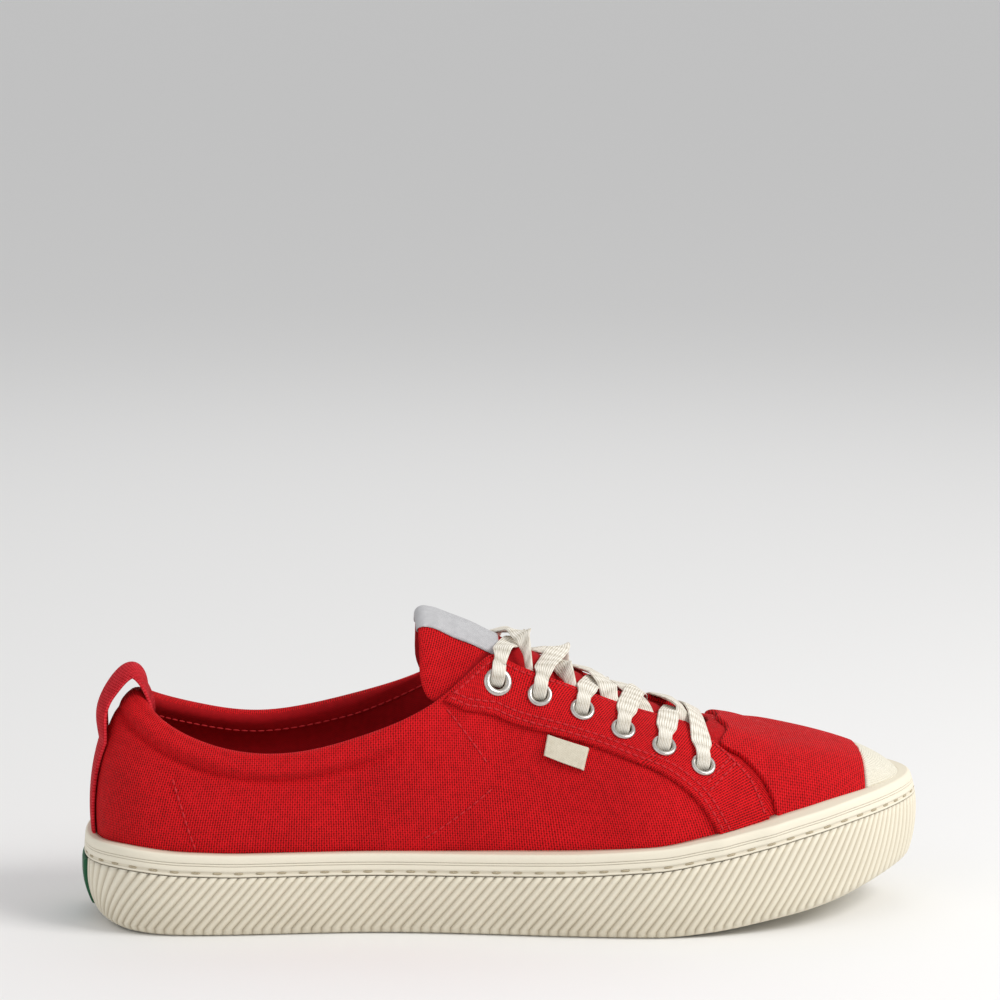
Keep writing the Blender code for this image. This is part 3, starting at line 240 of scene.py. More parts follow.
def run_curve(places, values):
    """A smooth curve through values at rising places that never overshoots them."""
    places = np.asarray(places, float)
    values = np.asarray(values, float)
    steps = np.diff(places)
    slopes = np.diff(values, axis=0) / (steps[:, None] if values.ndim > 1 else steps)
    both = slopes[1:] + slopes[:-1]
    same_way = slopes[1:] * slopes[:-1] > 0
    inner = np.where(same_way, 2 * slopes[1:] * slopes[:-1] / np.where(both == 0, 1, both), 0)
    tangents = np.concatenate([slopes[:1], inner, slopes[-1:]])

    def curve(place):
        place = np.clip(np.asarray(place, float), places[0], places[-1])
        at = np.clip(np.searchsorted(places, place, side="right") - 1, 0, len(places) - 2)
        step = steps[at]
        share = (place - places[at]) / step
        if values.ndim > 1:
            step, share = step[..., None], share[..., None]
        left = 1 - share
        low = values[at] * (1 + 2 * share) + tangents[at] * step * share
        high = values[at + 1] * (1 + 2 * left) - tangents[at + 1] * step * left
        return low * left ** 2 + high * share ** 2

    return curve


def fade(value, start, end):
    """0 up to start and 1 past end, smooth between."""
    share = np.clip((np.asarray(value, float) - start) / (end - start), 0, 1)
    return share * share * (3 - 2 * share)


def unit(vectors):
    return vectors / np.linalg.norm(vectors, axis=-1, keepdims=True)


OUTLINE_POINTS = np.array([(row.x * SHOE_LENGTH, row.y * BALL_WIDTH) for row in SECTIONS])
CHORDS = np.linalg.norm(np.roll(OUTLINE_POINTS, -1, axis=0) - OUTLINE_POINTS, axis=1)
PERIMETER = CHORDS.sum()
KNOTS = np.concatenate([[0.0], np.cumsum(CHORDS)[:-1]]) / PERIMETER
TOE = KNOTS[TOE_ROW]
outline = round_curve(KNOTS, OUTLINE_POINTS)
section_at = round_curve(KNOTS, [row[2:] for row in SECTIONS])
sole_at = run_curve([row.x * SHOE_LENGTH for row in SOLE_ROWS],
                    [(row.spring * TOE_SPRING, row.side * SIDE_HEIGHT, row.floor * SOLE_THICKNESS)
                     for row in SOLE_ROWS])
tongue_at = run_curve([row.x for row in TONGUE_ROWS], [row[1:] for row in TONGUE_ROWS])
print("the sole measures", round(PERIMETER / MM), "mm round its edge")

# %% [markdown]
# ## The surface of the last
#
# Any place on the upper is two numbers: a share of the way round the shoe, and a climb from the sole (0)
# to the edge of the opening (1). The point there lies on a Bezier curve between four handles. All that is
# sewn on the shoe is laid over this one surface, so nothing has to be fitted by eye.

# %% From a place to a point
def outwards(share):
    """The direction away from the shoe, level with the floor."""
    step = 0.0005
    along = outline(share + step) - outline(share - step)
    away = np.stack([along[..., 1], -along[..., 0], np.zeros(np.shape(share))], axis=-1)
    return unit(away)


def underside(x):
    return sole_at(x)[..., 0]


def side_top(x):
    """Height of the sole's top edge."""
    row = sole_at(x)
    return row[..., 0] + row[..., 1]


def ledge(x):
    """Height where the ribs end and the smooth band begins."""
    return side_top(x) - BAND_HEIGHT


def cup_floor(x):
    row = sole_at(x)
    return row[..., 0] + row[..., 2]


def handles(share):
    """The four control points of the columns at some shares round the shoe."""
    share = np.asarray(share, float)
    edge_x, edge_y, edge_z, flare, rise, over, drop = np.moveaxis(section_at(share), -1, 0)
    away = outwards(share)
    flat = outline(share)
    foot = np.stack([flat[..., 0], flat[..., 1], np.zeros(share.shape)], axis=-1) - FOOT_INSET * away
    foot[..., 2] = cup_floor(foot[..., 0]) + GAP
    edge = np.stack([edge_x * SHOE_LENGTH, edge_y * BALL_WIDTH, edge_z * THROAT_HEIGHT], axis=-1)
    height = edge[..., 2] - foot[..., 2]
    up = np.array([0.0, 0.0, 1.0])
    low = foot + away * (flare * BALL_WIDTH)[..., None] + up * (rise * height)[..., None]
    high = edge + away * (over * BALL_WIDTH)[..., None] - up * (drop * height)[..., None]
    return foot, low, high, edge


def skin(share, climb):
    """A point of the upper's outer surface."""
    foot, low, high, edge = handles(share)
    up = np.asarray(climb, float)[..., None]
    down = 1 - up
    return down ** 3 * foot + 3 * up * down ** 2 * low + 3 * up ** 2 * down * high + up ** 3 * edge


def skin_normal(share, climb):
    step = 0.0004
    share = np.asarray(share, float)
    climb = np.asarray(climb, float)
    along = skin(share + step, climb) - skin(share - step, climb)
    upwards = skin(share, climb + step) - skin(share, climb - step)
    return unit(np.cross(along, upwards))


def off_skin(share, climb, height):
    """A point at a height over the upper's surface, or under it where the height is negative."""
    return skin(share, climb) + skin_normal(share, climb) * np.asarray(height, float)[..., None]


def column_length(share):
    points = [skin(share, climb) for climb in np.linspace(0, 1, 17)]
    return sum(np.linalg.norm(high - low, axis=-1) for low, high in zip(points, points[1:]))


def heel_distance(share):
    """How far along the shoe's edge a column stands from the middle of the heel."""
    return np.minimum(share, 1 - share) * PERIMETER


def climb_to(share, height, axis=2, top=0.6, lift=0.0):
    """How far up its column a point, lifted off the upper, reaches a height or another coordinate."""
    low = np.zeros(np.shape(share))
    high = np.full(np.shape(share), top)
    rising = skin(share, high)[..., axis] > skin(share, low)[..., axis]
    lift = np.broadcast_to(lift, np.shape(share))
    for _ in range(24):
        middle = (low + high) / 2
        short = (off_skin(share, middle, lift)[..., axis] < height) == rising
        low = np.where(short, middle, low)
        high = np.where(short, high, middle)
    return (low + high) / 2


def home_in(place, target, axes, limit):
    """Move a place on the upper until its point has two given coordinates."""
    step = 0.0005
    for _ in range(12):
        here = skin(*place)[axes]
        along = (skin(place[0] + step, place[1])[axes] - here) / step
        upwards = (skin(place[0], place[1] + step)[axes] - here) / step
        move = np.linalg.lstsq(np.stack([along, upwards], axis=1), target - here, rcond=None)[0]
        place = place + np.clip(move, -limit, limit)
        place[1] = min(place[1], 1.0)
    return place


def locate(x, z, side):
    """The share and climb of the surface point at a length and a height, on one side."""
    target = np.array([x, z])
    start, end = (0.02, TOE) if side == LATERAL else (TOE, 0.98)
    shares, climbs = np.meshgrid(np.linspace(start, end, 120), np.linspace(0.05, 1, 40))
    misses = np.linalg.norm(skin(shares, climbs)[..., ::2] - target, axis=-1)
    best = np.unravel_index(np.argmin(misses), misses.shape)
    return home_in(np.array([shares[best], climbs[best]]), target, slice(0, 3, 2), 0.02)


def locate_spots(spots, side):
    return [locate(spot.x * SHOE_LENGTH, spot.z * THROAT_HEIGHT, side) for spot in spots]


def lengths_along(points):
    """How far along a line each of its points lies."""
    return np.concatenate([[0], np.cumsum(np.linalg.norm(np.diff(points, axis=0), axis=1))])


def trail(places, count):
    """Evenly spaced places along a line drawn on the upper through some places."""
    places = np.array(places)
    runs = lengths_along(skin(*places.T))
    return run_curve(runs, places)(np.linspace(0, runs[-1], count))


def side_inset(share, height_share):
    """How far the sole's side lies inside its widest outline."""
    x = outline(share)[..., 0] / SHOE_LENGTH
    heel = np.clip(1 - x / 0.12, 0, 1) ** 2
    toe = np.clip((x - 0.85) / 0.15, 0, 1) ** 2
    tuck = (2.0 + 3.0 * heel + 1.0 * toe) * MM
    lean = (0.7 + 2.0 * toe) * MM
    low = np.clip(1 - height_share / 0.55, 0, 1) ** 2
    high = np.clip((height_share - 0.55) / 0.45, 0, 1) ** 2
    return tuck * low + lean * high


def side_point(share, height, inset=0.0):
    """A point of the sole's side at a height over the floor, moved inwards by inset."""
    flat = outline(share)
    low = underside(flat[..., 0])
    height_share = np.clip((height - low) / (side_top(flat[..., 0]) - low), 0, 1)
    point = np.stack([flat[..., 0], flat[..., 1], height], axis=-1)
    return point - outwards(share) * (side_inset(share, height_share) + inset)[..., None]


def padding_share(share):
    """1 round the collar and 0 along the throat."""
    edge_x = section_at(share)[..., 0]
    return 1 - fade(edge_x, 0.31, 0.42)


def lip_radius(share):
    return (WALL + (COLLAR_PAD - WALL) * padding_share(share)) / 2


print("the collar at the heel is", round(float(skin(0.0, 1.0)[2]) / MM, 1), "mm above the floor")


# %% [markdown]
# ## From a grid of points to a piece
#
# Cloth and rubber sheets are all made alike here: Blender makes a flat grid, its points are moved to
# their places on the shoe, and the grid also keeps how far each point lies along and across the cloth.
# That second set of numbers is the UV map, in metres, and the weave is drawn on it later.

# %% Helpers that make meshes and lay a grid over the shoe
WELD = 0.002 * MM


@contextmanager
def edited(data):
    """A mesh opened for Blender's own mesh operators, and written back after them."""
    mesh = bmesh.new()
    mesh.from_mesh(data)
    yield mesh
    mesh.to_mesh(data)
    mesh.free()


def add_piece(name, data):
    """Put a mesh in the scene."""
    data.shade_smooth()
    piece = bpy.data.objects.new(name, data)
    bpy.context.scene.collection.objects.link(piece)
    return piece


def write_uvs(data, uvs):
    """Give each corner of a grid's faces the UV of its point."""
    corners = np.empty(len(data.loops), int)
    data.loops.foreach_get("vertex_index", corners)
    data.uv_layers[0].data.foreach_set("uv", uvs.reshape(-1, 2)[corners].ravel())


def lay_grid(name, points, uvs=None, joined=False):
    """A piece from rows of points; joined welds the last column to the first."""
    rows, columns = points.shape[:2]
    data = bpy.data.meshes.new(name)
    with edited(data) as mesh:
        bmesh.ops.create_grid(mesh, x_segments=columns - 1, y_segments=rows - 1, size=1)
    data.vertices.foreach_set("co", (points - MIDDLE).ravel())
    data.uv_layers.new(name="UVMap")
    if uvs is None:
        uvs = np.stack(np.meshgrid(np.arange(columns), np.arange(rows)), axis=-1) * MM
    write_uvs(data, uvs)
    if joined:
        with edited(data) as mesh:
            bmesh.ops.remove_doubles(mesh, verts=mesh.verts, dist=WELD)
            bmesh.ops.recalc_face_normals(mesh, faces=mesh.faces)
    return add_piece(name, data)


def runs_of(points, axis):
    """How far along each point lies on its own line of the grid."""
    steps = np.linalg.norm(np.diff(points, axis=axis), axis=-1)
    first = np.zeros_like(np.take(steps, [0], axis=axis))
    return np.concatenate([first, np.cumsum(steps, axis=axis)], axis=axis)


def cloth_uvs(across, points):
    """UVs across the cloth as given, and along it by its own length."""
    return np.stack([np.broadcast_to(across, points.shape[:2]), runs_of(points, 0)], axis=-1)


def points_at(distances, runs, line):
    """Points on a line at some distances along it."""
    return np.stack([np.interp(distances, runs, line[:, i]) for i in range(3)], axis=-1)


def dress(piece, finish, slot, *nodes):
    """Give a piece its finish, let it ride on the shoe and stand for its solids."""
    piece.data.materials.append(finish.material)
    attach(piece, "root")
    if nodes:
        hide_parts(*nodes)
    print(piece.name, len(piece.data.polygons), "faces")
    return piece


def turn_out(piece, inside=(0, 0, 35 * MM)):
    """Turn a sheet's faces away from a point inside the shoe."""
    inside = Vector(inside)
    with edited(piece.data) as mesh:
        if sum(face.normal.dot(face.calc_center_median() - inside) for face in mesh.faces) < 0:
            bmesh.ops.reverse_faces(mesh, faces=mesh.faces)
    return piece


def rolled(distance, radius):
    """The share of full height at a distance from a rounded edge."""
    return np.sqrt(1 - (1 - np.clip(distance / radius, 0, 1)) ** 2)


def thicken(piece, thickness, offset=-1.0):
    """Give a sheet its real thickness, with a rim."""
    solid = piece.modifiers.new("thickness", "SOLIDIFY")
    solid.thickness = thickness
    solid.offset = offset
    return piece


# %% [markdown]
# ## Finishes
#
# Canvas is a plain weave: each thread goes over one thread and under the next. Two sine waves in the UV
# map's metres draw the two sets of threads, and a chequer of their signs says which one is on top. The
# height of that pattern drives the bump, and it also paints shade into the pores between the threads and
# light onto the thread tops, which are rubbed paler too. Larger, softer noise makes the uneven dye, slubs
# and the rubbed look of a shoe that has been worn a few times.

# %% A finish, and short ways to add nodes to it
class Finish:
    """A new material, and one way to add each kind of node that the finishes need."""

    def __init__(self, name):
        self.material = bpy.data.materials.new(name)
        self.material.use_nodes = True
        self.shader = self.material.node_tree.nodes["Principled BSDF"]

    def feed(self, socket, value):
        """Link a socket to another node's output, or write a plain value in it."""
        if isinstance(value, bpy.types.NodeSocket):
            self.material.node_tree.links.new(value, socket)
        elif value is not None:
            socket.default_value = value

    def add(self, kind, inputs=(), **settings):
        """A new node with its settings made and its inputs, named or numbered, fed."""
        node = self.material.node_tree.nodes.new("ShaderNode" + kind)
        for name, value in settings.items():
            setattr(node, name, value)
        for key, value in dict(inputs).items():
            self.feed(node.inputs[key], value)
        return node

    def shade(self, **values):
        """Feed the shader's own sockets; an underscore stands for a space."""
        for name, value in values.items():
            self.feed(self.shader.inputs[name.replace("_", " ")], value)

    def place(self):
        """The point's place in the shoe."""
        return self.add("TexCoord").outputs["Object"]

    def thread_map(self):
        """The point's place on its own cloth, in metres."""
        return self.add("UVMap").outputs[0]

    def split(self, vector):
        return self.add("SeparateXYZ", {0: vector}).outputs

    def maths(self, operation, *values):
        return self.add("Math", enumerate(values), operation=operation).outputs[0]

    def noise(self, vector, scale, detail=3.0, roughness=0.55, output=0):
        inputs = {"Vector": vector, "Scale": scale, "Detail": detail, "Roughness": roughness}
        return self.add("TexNoise", inputs).outputs[output]

    def bump(self, height, distance, strength=1.0, under=None):
        inputs = {"Strength": strength, "Distance": distance, "Height": height, "Normal": under}
        return self.add("Bump", inputs).outputs[0]

    def stretch(self, value, low, high, start=0.0, end=1.0):
        """A value from start to end, stretched to run from low to high."""
        return self.add("MapRange", enumerate((value, start, end, low, high))).outputs[0]

    def mix(self, share, first, second):
        return self.add("Mix", {0: share, 6: first, 7: second}, data_type="RGBA").outputs[2]

    def ramp(self, value, stops):
        """Colours along a value from 0 to 1."""
        node = self.add("ValToRGB", {0: value})
        while len(node.color_ramp.elements) < len(stops):
            node.color_ramp.elements.new(0.5)
        for element, stop in zip(node.color_ramp.elements, stops):
            element.position, element.color = stop
        return node.outputs[0]


def linear(red, green, blue):
    """A colour as it looks on screen, 0 to 255, as Blender's linear colour."""
    return (*[(channel / 255) ** 2.2 for channel in (red, green, blue)], 1)


# %% The weave
SLACK = 0.35
THREAD_DRIFT = 90.0
FIBRES = 2600.0
SLUBS = 420.0
DYE_CLOUDS = 26.0
OVER_AND_UNDER = 0.35


def woven(name, dark, mid, light, pitch, relief, sheen, stretch=1.0):
    """Plain-woven cotton: pores in painted shade, mid threads, and thread tops lighter with painted light and
    rubbed wear.
    """
    cloth = Finish(name)
    place, solid = cloth.thread_map(), cloth.place()
    drift = cloth.noise(solid, THREAD_DRIFT, 2.0, 0.5, output=1)
    sway = 2 * SLACK * pitch
    threads = cloth.add("VectorMath", enumerate((drift, (sway, sway, 0), place)), operation="MULTIPLY_ADD")
    x, y, _ = cloth.split(threads.outputs[0])
    turn = math.pi / pitch
    along = cloth.maths("MULTIPLY", x, turn)
    across = cloth.maths("MULTIPLY", y, turn * stretch)
    over = cloth.maths("MULTIPLY", cloth.maths("COSINE", along), cloth.maths("COSINE", across))
    warp = cloth.maths("ABSOLUTE", cloth.maths("SINE", along))
    weft = cloth.maths("ABSOLUTE", cloth.maths("SINE", across))
    warp_high = cloth.maths("MULTIPLY_ADD", over, OVER_AND_UNDER, warp)
    height = cloth.maths("MAXIMUM", warp_high, cloth.maths("MULTIPLY_ADD", over, -OVER_AND_UNDER, weft))
    # the tone is low in the pores and high on the thread tops: painted shade and painted light that follow
    # the weave's height
    pores = cloth.maths("MULTIPLY", warp, weft)
    tone = cloth.maths("MULTIPLY_ADD", pores, 0.5, cloth.maths("MULTIPLY", warp_high, 0.45))
    fibre = cloth.noise(place, FIBRES, 2.0)
    slub, cloud = cloth.noise(solid, SLUBS), cloth.noise(solid, DYE_CLOUDS)
    for spots, share in ((fibre, 0.45), (slub, 0.55), (cloud, 0.35)):
        tone = cloth.maths("MULTIPLY_ADD", cloth.maths("SUBTRACT", spots, 0.5), share, tone)
    relief_height = cloth.maths("MULTIPLY_ADD", fibre, 0.25, height)
    cloth.shade(Base_Color=cloth.ramp(tone, [(0.12, dark), (0.52, mid), (0.95, light)]),
                Normal=cloth.bump(relief_height, relief), Roughness=0.88, Specular_IOR_Level=0.25,
                Sheen_Weight=sheen, Sheen_Roughness=0.55, Sheen_Tint=light)
    return cloth


canvas = woven("red canvas", linear(112, 0, 6), linear(200, 6, 18), linear(226, 27, 36),
               0.86 * MM, 0.26 * MM, 0.08)
lining = woven("red lining", linear(120, 4, 12), linear(176, 10, 22), linear(196, 22, 32),
               0.42 * MM, 0.05 * MM, 0.05)
tape = woven("heel tape", linear(126, 6, 18), linear(192, 18, 32), linear(220, 58, 68),
             0.62 * MM, 0.14 * MM, 0.08, stretch=0.6)
satin = woven("grey satin", linear(150, 150, 153), linear(186, 186, 189), linear(208, 208, 210),
              0.3 * MM, 0.03 * MM, 0.1)
satin.shade(Roughness=0.42)
ribbon_cloth = woven("ivory ribbon", linear(176, 167, 146), linear(218, 210, 190), linear(234, 228, 212),
                     0.36 * MM, 0.05 * MM, 0.05)
cotton = woven("lace cotton", linear(190, 182, 166), linear(228, 222, 209), linear(244, 240, 230),
               0.9 * MM, 0.2 * MM, 0.1, stretch=0.16)
print("six woven finishes")

# %% [markdown]
# Moulded rubber is nearly smooth. What makes it read as rubber is a soft, waxy roughness, fine pits and the
# grey dirt that settles low down, with painted shade darkening its grooves.

# %% Rubber, thread and metal
DIRTY_HEIGHT = 14 * MM


def moulded(name, clean, soil_and_shade, dirt=0.35):
    """Moulded rubber with dirt low down; a piece's own attribute groove, 0 to 1, says where its grooves get
    painted shade.
    """
    rubber = Finish(name)
    groove = rubber.add("Attribute", attribute_name="groove").outputs["Fac"]
    solid = rubber.place()
    low = rubber.stretch(rubber.split(solid)[2], 1.0, 0.0, 0.0, DIRTY_HEIGHT)
    stains = rubber.noise(solid, 55.0, 5.0, 0.62)
    dirt_and_groove_shade = rubber.maths("MULTIPLY", rubber.maths("ADD", low, 0.30), stains)
    # painted shade in the grooves, added to the real dirt low down
    dirt_and_groove_shade = rubber.maths("MULTIPLY_ADD", groove, 0.55, rubber.maths("MULTIPLY", dirt_and_groove_shade, dirt))
    waves = rubber.bump(rubber.noise(solid, 60.0, 2.0), 0.25 * MM, 0.5)
    pits = rubber.bump(rubber.noise(solid, 1500.0), 0.04 * MM, under=waves)
    rubber.shade(Base_Color=rubber.mix(dirt_and_groove_shade, clean, soil_and_shade), Normal=pits, Roughness=0.58,
                 Specular_IOR_Level=0.4)
    return rubber


def spun(name, colour, shade):
    """Sewing thread: twisted cotton with a fine fuzz."""
    thread = Finish(name)
    fuzz = thread.noise(thread.place(), 2400.0, 2.0)
    thread.shade(Base_Color=thread.mix(fuzz, shade, colour), Normal=thread.bump(fuzz, 0.06 * MM),
                 Roughness=0.8)
    return thread


def plated(name):
    """Nickel plate: bright, with soft scratches and dull spots."""
    metal = Finish(name)
    spots = metal.noise(metal.place(), 700.0, 4.0)
    metal.shade(Base_Color=metal.mix(spots, linear(176, 172, 166), linear(214, 211, 206)),
                Roughness=metal.stretch(spots, 0.2, 0.42), Normal=metal.bump(spots, 0.02 * MM), Metallic=1.0)
    return metal


# each rubber's second colour is its dirt and also the painted shade in its grooves
ivory = moulded("ivory rubber", linear(236, 229, 210), linear(158, 143, 116))
green = moulded("green rubber", linear(16, 86, 52), linear(8, 44, 30), dirt=0.5)
red_thread = spun("red thread", linear(216, 36, 44), linear(156, 8, 20))
pale_thread = spun("pale thread", linear(206, 194, 168), linear(140, 126, 100))
nickel = plated("nickel plate")
print("rubber, thread and nickel are mixed")


# %% [markdown]
# ## The outsole
#
# A cup sole is moulded in one piece, with slanted ribs round its lower side. The grid here goes round
# the shoe with eight points to each rib and climbs from the underside to the ledge under the smooth
# band. Each line of points leans forwards as it climbs, except at the toe and heel where the ribs stand
# upright, and a cosine sinks the groove between two ribs.

# %% The ribbed side and the flat underside
STEPS_PER_RIB = 8
# the ribs stand upright at the toe and near the heel, and lean in full this far from them
LEANING_FROM_TOE = 70 * MM
UPRIGHT_AT_HEEL = 8 * MM
LEANING_FROM_HEEL = 40 * MM
RIB_ROUNDNESS = 0.75
SPINE_INSET = 16 * MM
# how far each inner row lies inside the ledge's edge and under it
INNER_RIM = ((1.5 * MM, 0.0), (3.0 * MM, 5.0 * MM))


def search_tree(points):
    """A tree that finds the nearest of some points."""
    search = KDTree(len(points))
    for i, point in enumerate(points):
        search.insert(point, i)
    search.balance()
    return search


def mark_groove_shade(piece, points, depths):
    """Write on each point of a piece how deep in a groove it lies, for the painted shade there."""
    search = search_tree((points - MIDDLE).reshape(-1, 3))
    depths = depths.ravel()
    marks = piece.data.attributes.new("groove", "FLOAT", "POINT")
    marks.data.foreach_set("value", [float(depths[search.find(vert.co)[1]]) for vert in piece.data.vertices])


def make_outsole():
    """The sole, from the middle of its underside, up its ribs and over the ledge under the band."""
    ribs = round(PERIMETER / RIB_PITCH)
    count = ribs * STEPS_PER_RIB
    shares = np.arange(count + 1) / count
    from_heel = heel_distance(shares)
    lean = fade(np.abs(shares - TOE) * PERIMETER, 0, LEANING_FROM_TOE)
    lean = lean * fade(from_heel, UPRIGHT_AT_HEEL, LEANING_FROM_HEEL) * RIB_LEAN / 2 / PERIMETER
    lean = lean * np.where(shares < TOE, 1, -1)
    groove = 1 - np.abs(np.cos(np.pi * shares * ribs)) ** RIB_ROUNDNESS
    in_patch = 1 - fade(from_heel, PATCH_WIDTH / 2 + 0.5 * MM, PATCH_WIDTH / 2 + 1.2 * MM)
    depth = RIB_DEPTH * (groove * (1 - in_patch) + in_patch)
    low_floor = underside(outline(shares - lean)[..., 0])
    first = side_point(shares - lean, low_floor, EDGE_ROUND)
    spine = first.copy()
    spine[..., 0] = np.clip(first[..., 0], SPINE_INSET, SHOE_LENGTH - SPINE_INSET)
    spine[..., 1] = (first[..., 1].min() + first[..., 1].max()) / 2
    rows = []
    for inward in (1.0, 0.66, 0.33, 0.12, 0.03, 0.0):
        row = first + (spine - first) * inward
        row[..., 2] = underside(row[..., 0])
        rows.append((row, 0 * depth))
    for angle in np.radians((22, 45, 68, 90)):
        sunk = depth * math.sin(angle) ** 2
        inset = EDGE_ROUND * (1 - math.sin(angle)) + sunk
        rows.append((side_point(shares - lean, low_floor + EDGE_ROUND * (1 - math.cos(angle)), inset), sunk))
    for level in np.linspace(0.08, 1, 9):
        here = shares - lean + 2 * lean * level
        flat = outline(here)[..., 0]
        base = underside(flat) + EDGE_ROUND
        rows.append((side_point(here, base + (ledge(flat) - base) * level, depth), depth))
    top = rows[-1][0]
    for inward, sink in INNER_RIM:
        row = top - outwards(shares + lean) * inward
        row[..., 2] -= sink
        rows.append((row, 0 * depth))
    points, sunk = (np.stack(part) for part in zip(*rows))
    piece = lay_grid("outsole_rubber", points, joined=True)
    # painted shade in the ribs' grooves, as deep as each point is sunk
    mark_groove_shade(piece, points, sunk / RIB_DEPTH)
    return piece


dress(turn_out(make_outsole()), ivory, "ivory_rubber", "outsole")

# %% [markdown]
# ## The smooth band
#
# Above the ribs runs a smooth band with a fine double line and a sunk channel for the sole stitching.
# Its cross-section is a short list of heights below its top edge, depths and painted shade in its grooves,
# the same all round. It swells a little where an eyestay's leg runs down behind it.

# %% The band's section
BandStep = namedtuple("BandStep", "below inset dirt")
BAND_LIFT = 0.1 * MM
# each step: height below the top edge and inset in mm, then the painted shade at that step
BAND_STEPS = [BandStep(*step) for step in (
    (7.7, 0.35, 0.9), (7.5, 0.1, 0.3), (7.2, 0.0, 0), (6.95, 0.02, 0), (6.8, 0.32, 0.4), (6.4, 0.4, 0.3),
    (5.95, 0.32, 0.3), (5.8, 0.02, 0), (5.2, 0.0, 0), (4.3, 0.0, 0), (4.1, 0.04, 0), (3.95, 0.42, 0.8),
    (3.8, 0.08, 0.1), (3.65, 0.02, 0), (3.4, 0.02, 0), (3.25, 0.08, 0.1), (3.1, 0.42, 0.8), (2.95, 0.04, 0),
    (2.7, 0.0, 0), (1.6, 0.02, 0), (0.9, 0.1, 0), (0.45, 0.28, 0), (0.15, 0.6, 0.1), (0.0, 1.0, 0.4))]


def leg_swell(share):
    """How far the band swells over the edges of the eyestay's legs."""
    x = outline(share)[..., 0] / SHOE_LENGTH
    middles = (FACING_LOWER_EDGE[-1].x, LEG_FRONT_EDGE[-1].x)
    return 0.55 * MM * sum(np.exp(-((x - middle) / 0.014) ** 2) for middle in middles)


def make_band():
    shares = np.linspace(0, 1, 721)
    x = outline(shares)[..., 0]
    top = side_top(x)
    swell = leg_swell(shares)
    rows = []
    for step in BAND_STEPS:
        height = np.maximum(top - step.below * MM, ledge(x) + GAP / 2)
        rows.append(side_point(shares, height, step.inset * MM - swell * min(1, (9 - step.below) / 5)))
    inner, deep = (off_skin(shares, climb_to(shares, top - down, lift=BAND_LIFT), BAND_LIFT)
                   for down in (0.1 * MM, 4 * MM))
    rows = np.stack(rows + [(rows[-1] + inner) / 2, inner, deep])
    piece = lay_grid("smooth_band", rows, joined=True)
    # painted shade: in the band's grooves and corners, and full shade on the rows that go in behind the upper
    dirt = [step.dirt for step in BAND_STEPS] + [0.3, 1.0, 1.0]
    mark_groove_shade(piece, rows, np.outer(dirt, np.ones(rows.shape[1])))
    return piece


dress(turn_out(make_band()), ivory, "ivory_rubber", "foxing_band")

# %% [markdown]
# ## Stitches
#
# A row of stitches is one small bead of thread repeated along a line. Each bead is a slim capsule whose
# ends dip into the cloth. All the beads of one seam are joined in one mesh.

# %% Helpers for seams
Stitch = namedtuple("Stitch", "pitch length radius")
SOLE_STITCH = Stitch(7.5 * MM, 3.4 * MM, 0.5 * MM)
FACING_STITCH = Stitch(2.7 * MM, 2.4 * MM, 0.44 * MM)
QUARTER_STITCH = Stitch(3.0 * MM, 2.6 * MM, 0.4 * MM)
COLLAR_STITCH = Stitch(3.0 * MM, 2.7 * MM, 0.4 * MM)


def sew(name, centres, normals, stitch, thread, slot):
    """Beads of thread along a line of points, pressed into the cloth under it."""
    runs = runs_of(centres, 0)
    at = (np.arange(max(int(runs[-1] / stitch.pitch), 1)) + 0.5) * stitch.pitch
    bead = bpy.data.meshes.new("bead")
    with edited(bead) as mesh:
        bmesh.ops.create_uvsphere(mesh, u_segments=6, v_segments=4, radius=1)
    behind, middles, ahead = (points_at(at + shift * stitch.pitch, runs, centres)
                              for shift in (-0.25, 0, 0.25))
    data = bpy.data.meshes.new(name)
    with edited(data) as seam:
        for here, travel, away in zip(middles, ahead - behind, points_at(at, runs, normals)):
            forward = Vector(unit(travel))
            side = Vector(away).cross(forward).normalized()
            up = forward.cross(side)
            turn = Matrix((side * stitch.radius, up * stitch.radius * 0.8, forward * stitch.length / 2))
            where = Matrix.Translation(Vector(here - MIDDLE)) @ turn.transposed().to_4x4()
            first = len(seam.verts)
            seam.from_mesh(bead)
            seam.verts.ensure_lookup_table()
            bmesh.ops.transform(seam, matrix=where, verts=seam.verts[first:])
        bmesh.ops.recalc_face_normals(seam, faces=seam.faces)
    bpy.data.meshes.remove(bead)
    return dress(add_piece(name, data), thread, slot)


def seam_on_skin(name, places, height, stitch):
    """A red seam along a line of places on the upper."""
    places = trail(places, 160).T
    sew(name, off_skin(*places, height), skin_normal(*places), stitch, red_thread, "canvas")


# the sole stitching lies in the band's sunk channel
around = np.linspace(0, 1, 900)
flat = outline(around)
channel = side_point(around, side_top(flat[..., 0]) - 6.38 * MM, 0.34 * MM - leg_swell(around) * 0.5)
sew("sole_stitches", channel, outwards(around), SOLE_STITCH, pale_thread, "ivory_rubber")

# %% [markdown]
# ## The heel patch
#
# A small patch of coloured rubber is set into the back of the sole. It is a thin curved plate with
# rounded edges, left plain.

# %% The plate in its recess
def make_patch():
    top = float(ledge(0.0)) - GAP * 2
    across = np.linspace(-1, 1, 41)
    rows = []
    for level in np.linspace(0, 1, 27):
        edge = min(level, 1 - level) * PATCH_HEIGHT
        near = np.minimum(edge, (1 - np.abs(across)) * PATCH_WIDTH / 2)
        height = np.full(across.shape, top - PATCH_HEIGHT * (1 - level))
        inset = RIB_DEPTH - GAP - PATCH_THICKNESS + (1 - rolled(near, 1.0 * MM)) * PATCH_THICKNESS
        rows.append(side_point(across * PATCH_WIDTH / 2 / PERIMETER, height, inset))
    return lay_grid("plain_heel_patch", np.stack(rows))


dress(thicken(turn_out(make_patch()), 0.4 * MM), green, "green_rubber", "heel_patch")

# %% [markdown]
# ## The upper
#
# The upper is one wall that goes up the outside, over the padded collar and down the inside. The
# outside is canvas and the inside is a smooth lining, so its faces take two finishes. Under the collar
# a seam pulls a soft crease all round the heel.

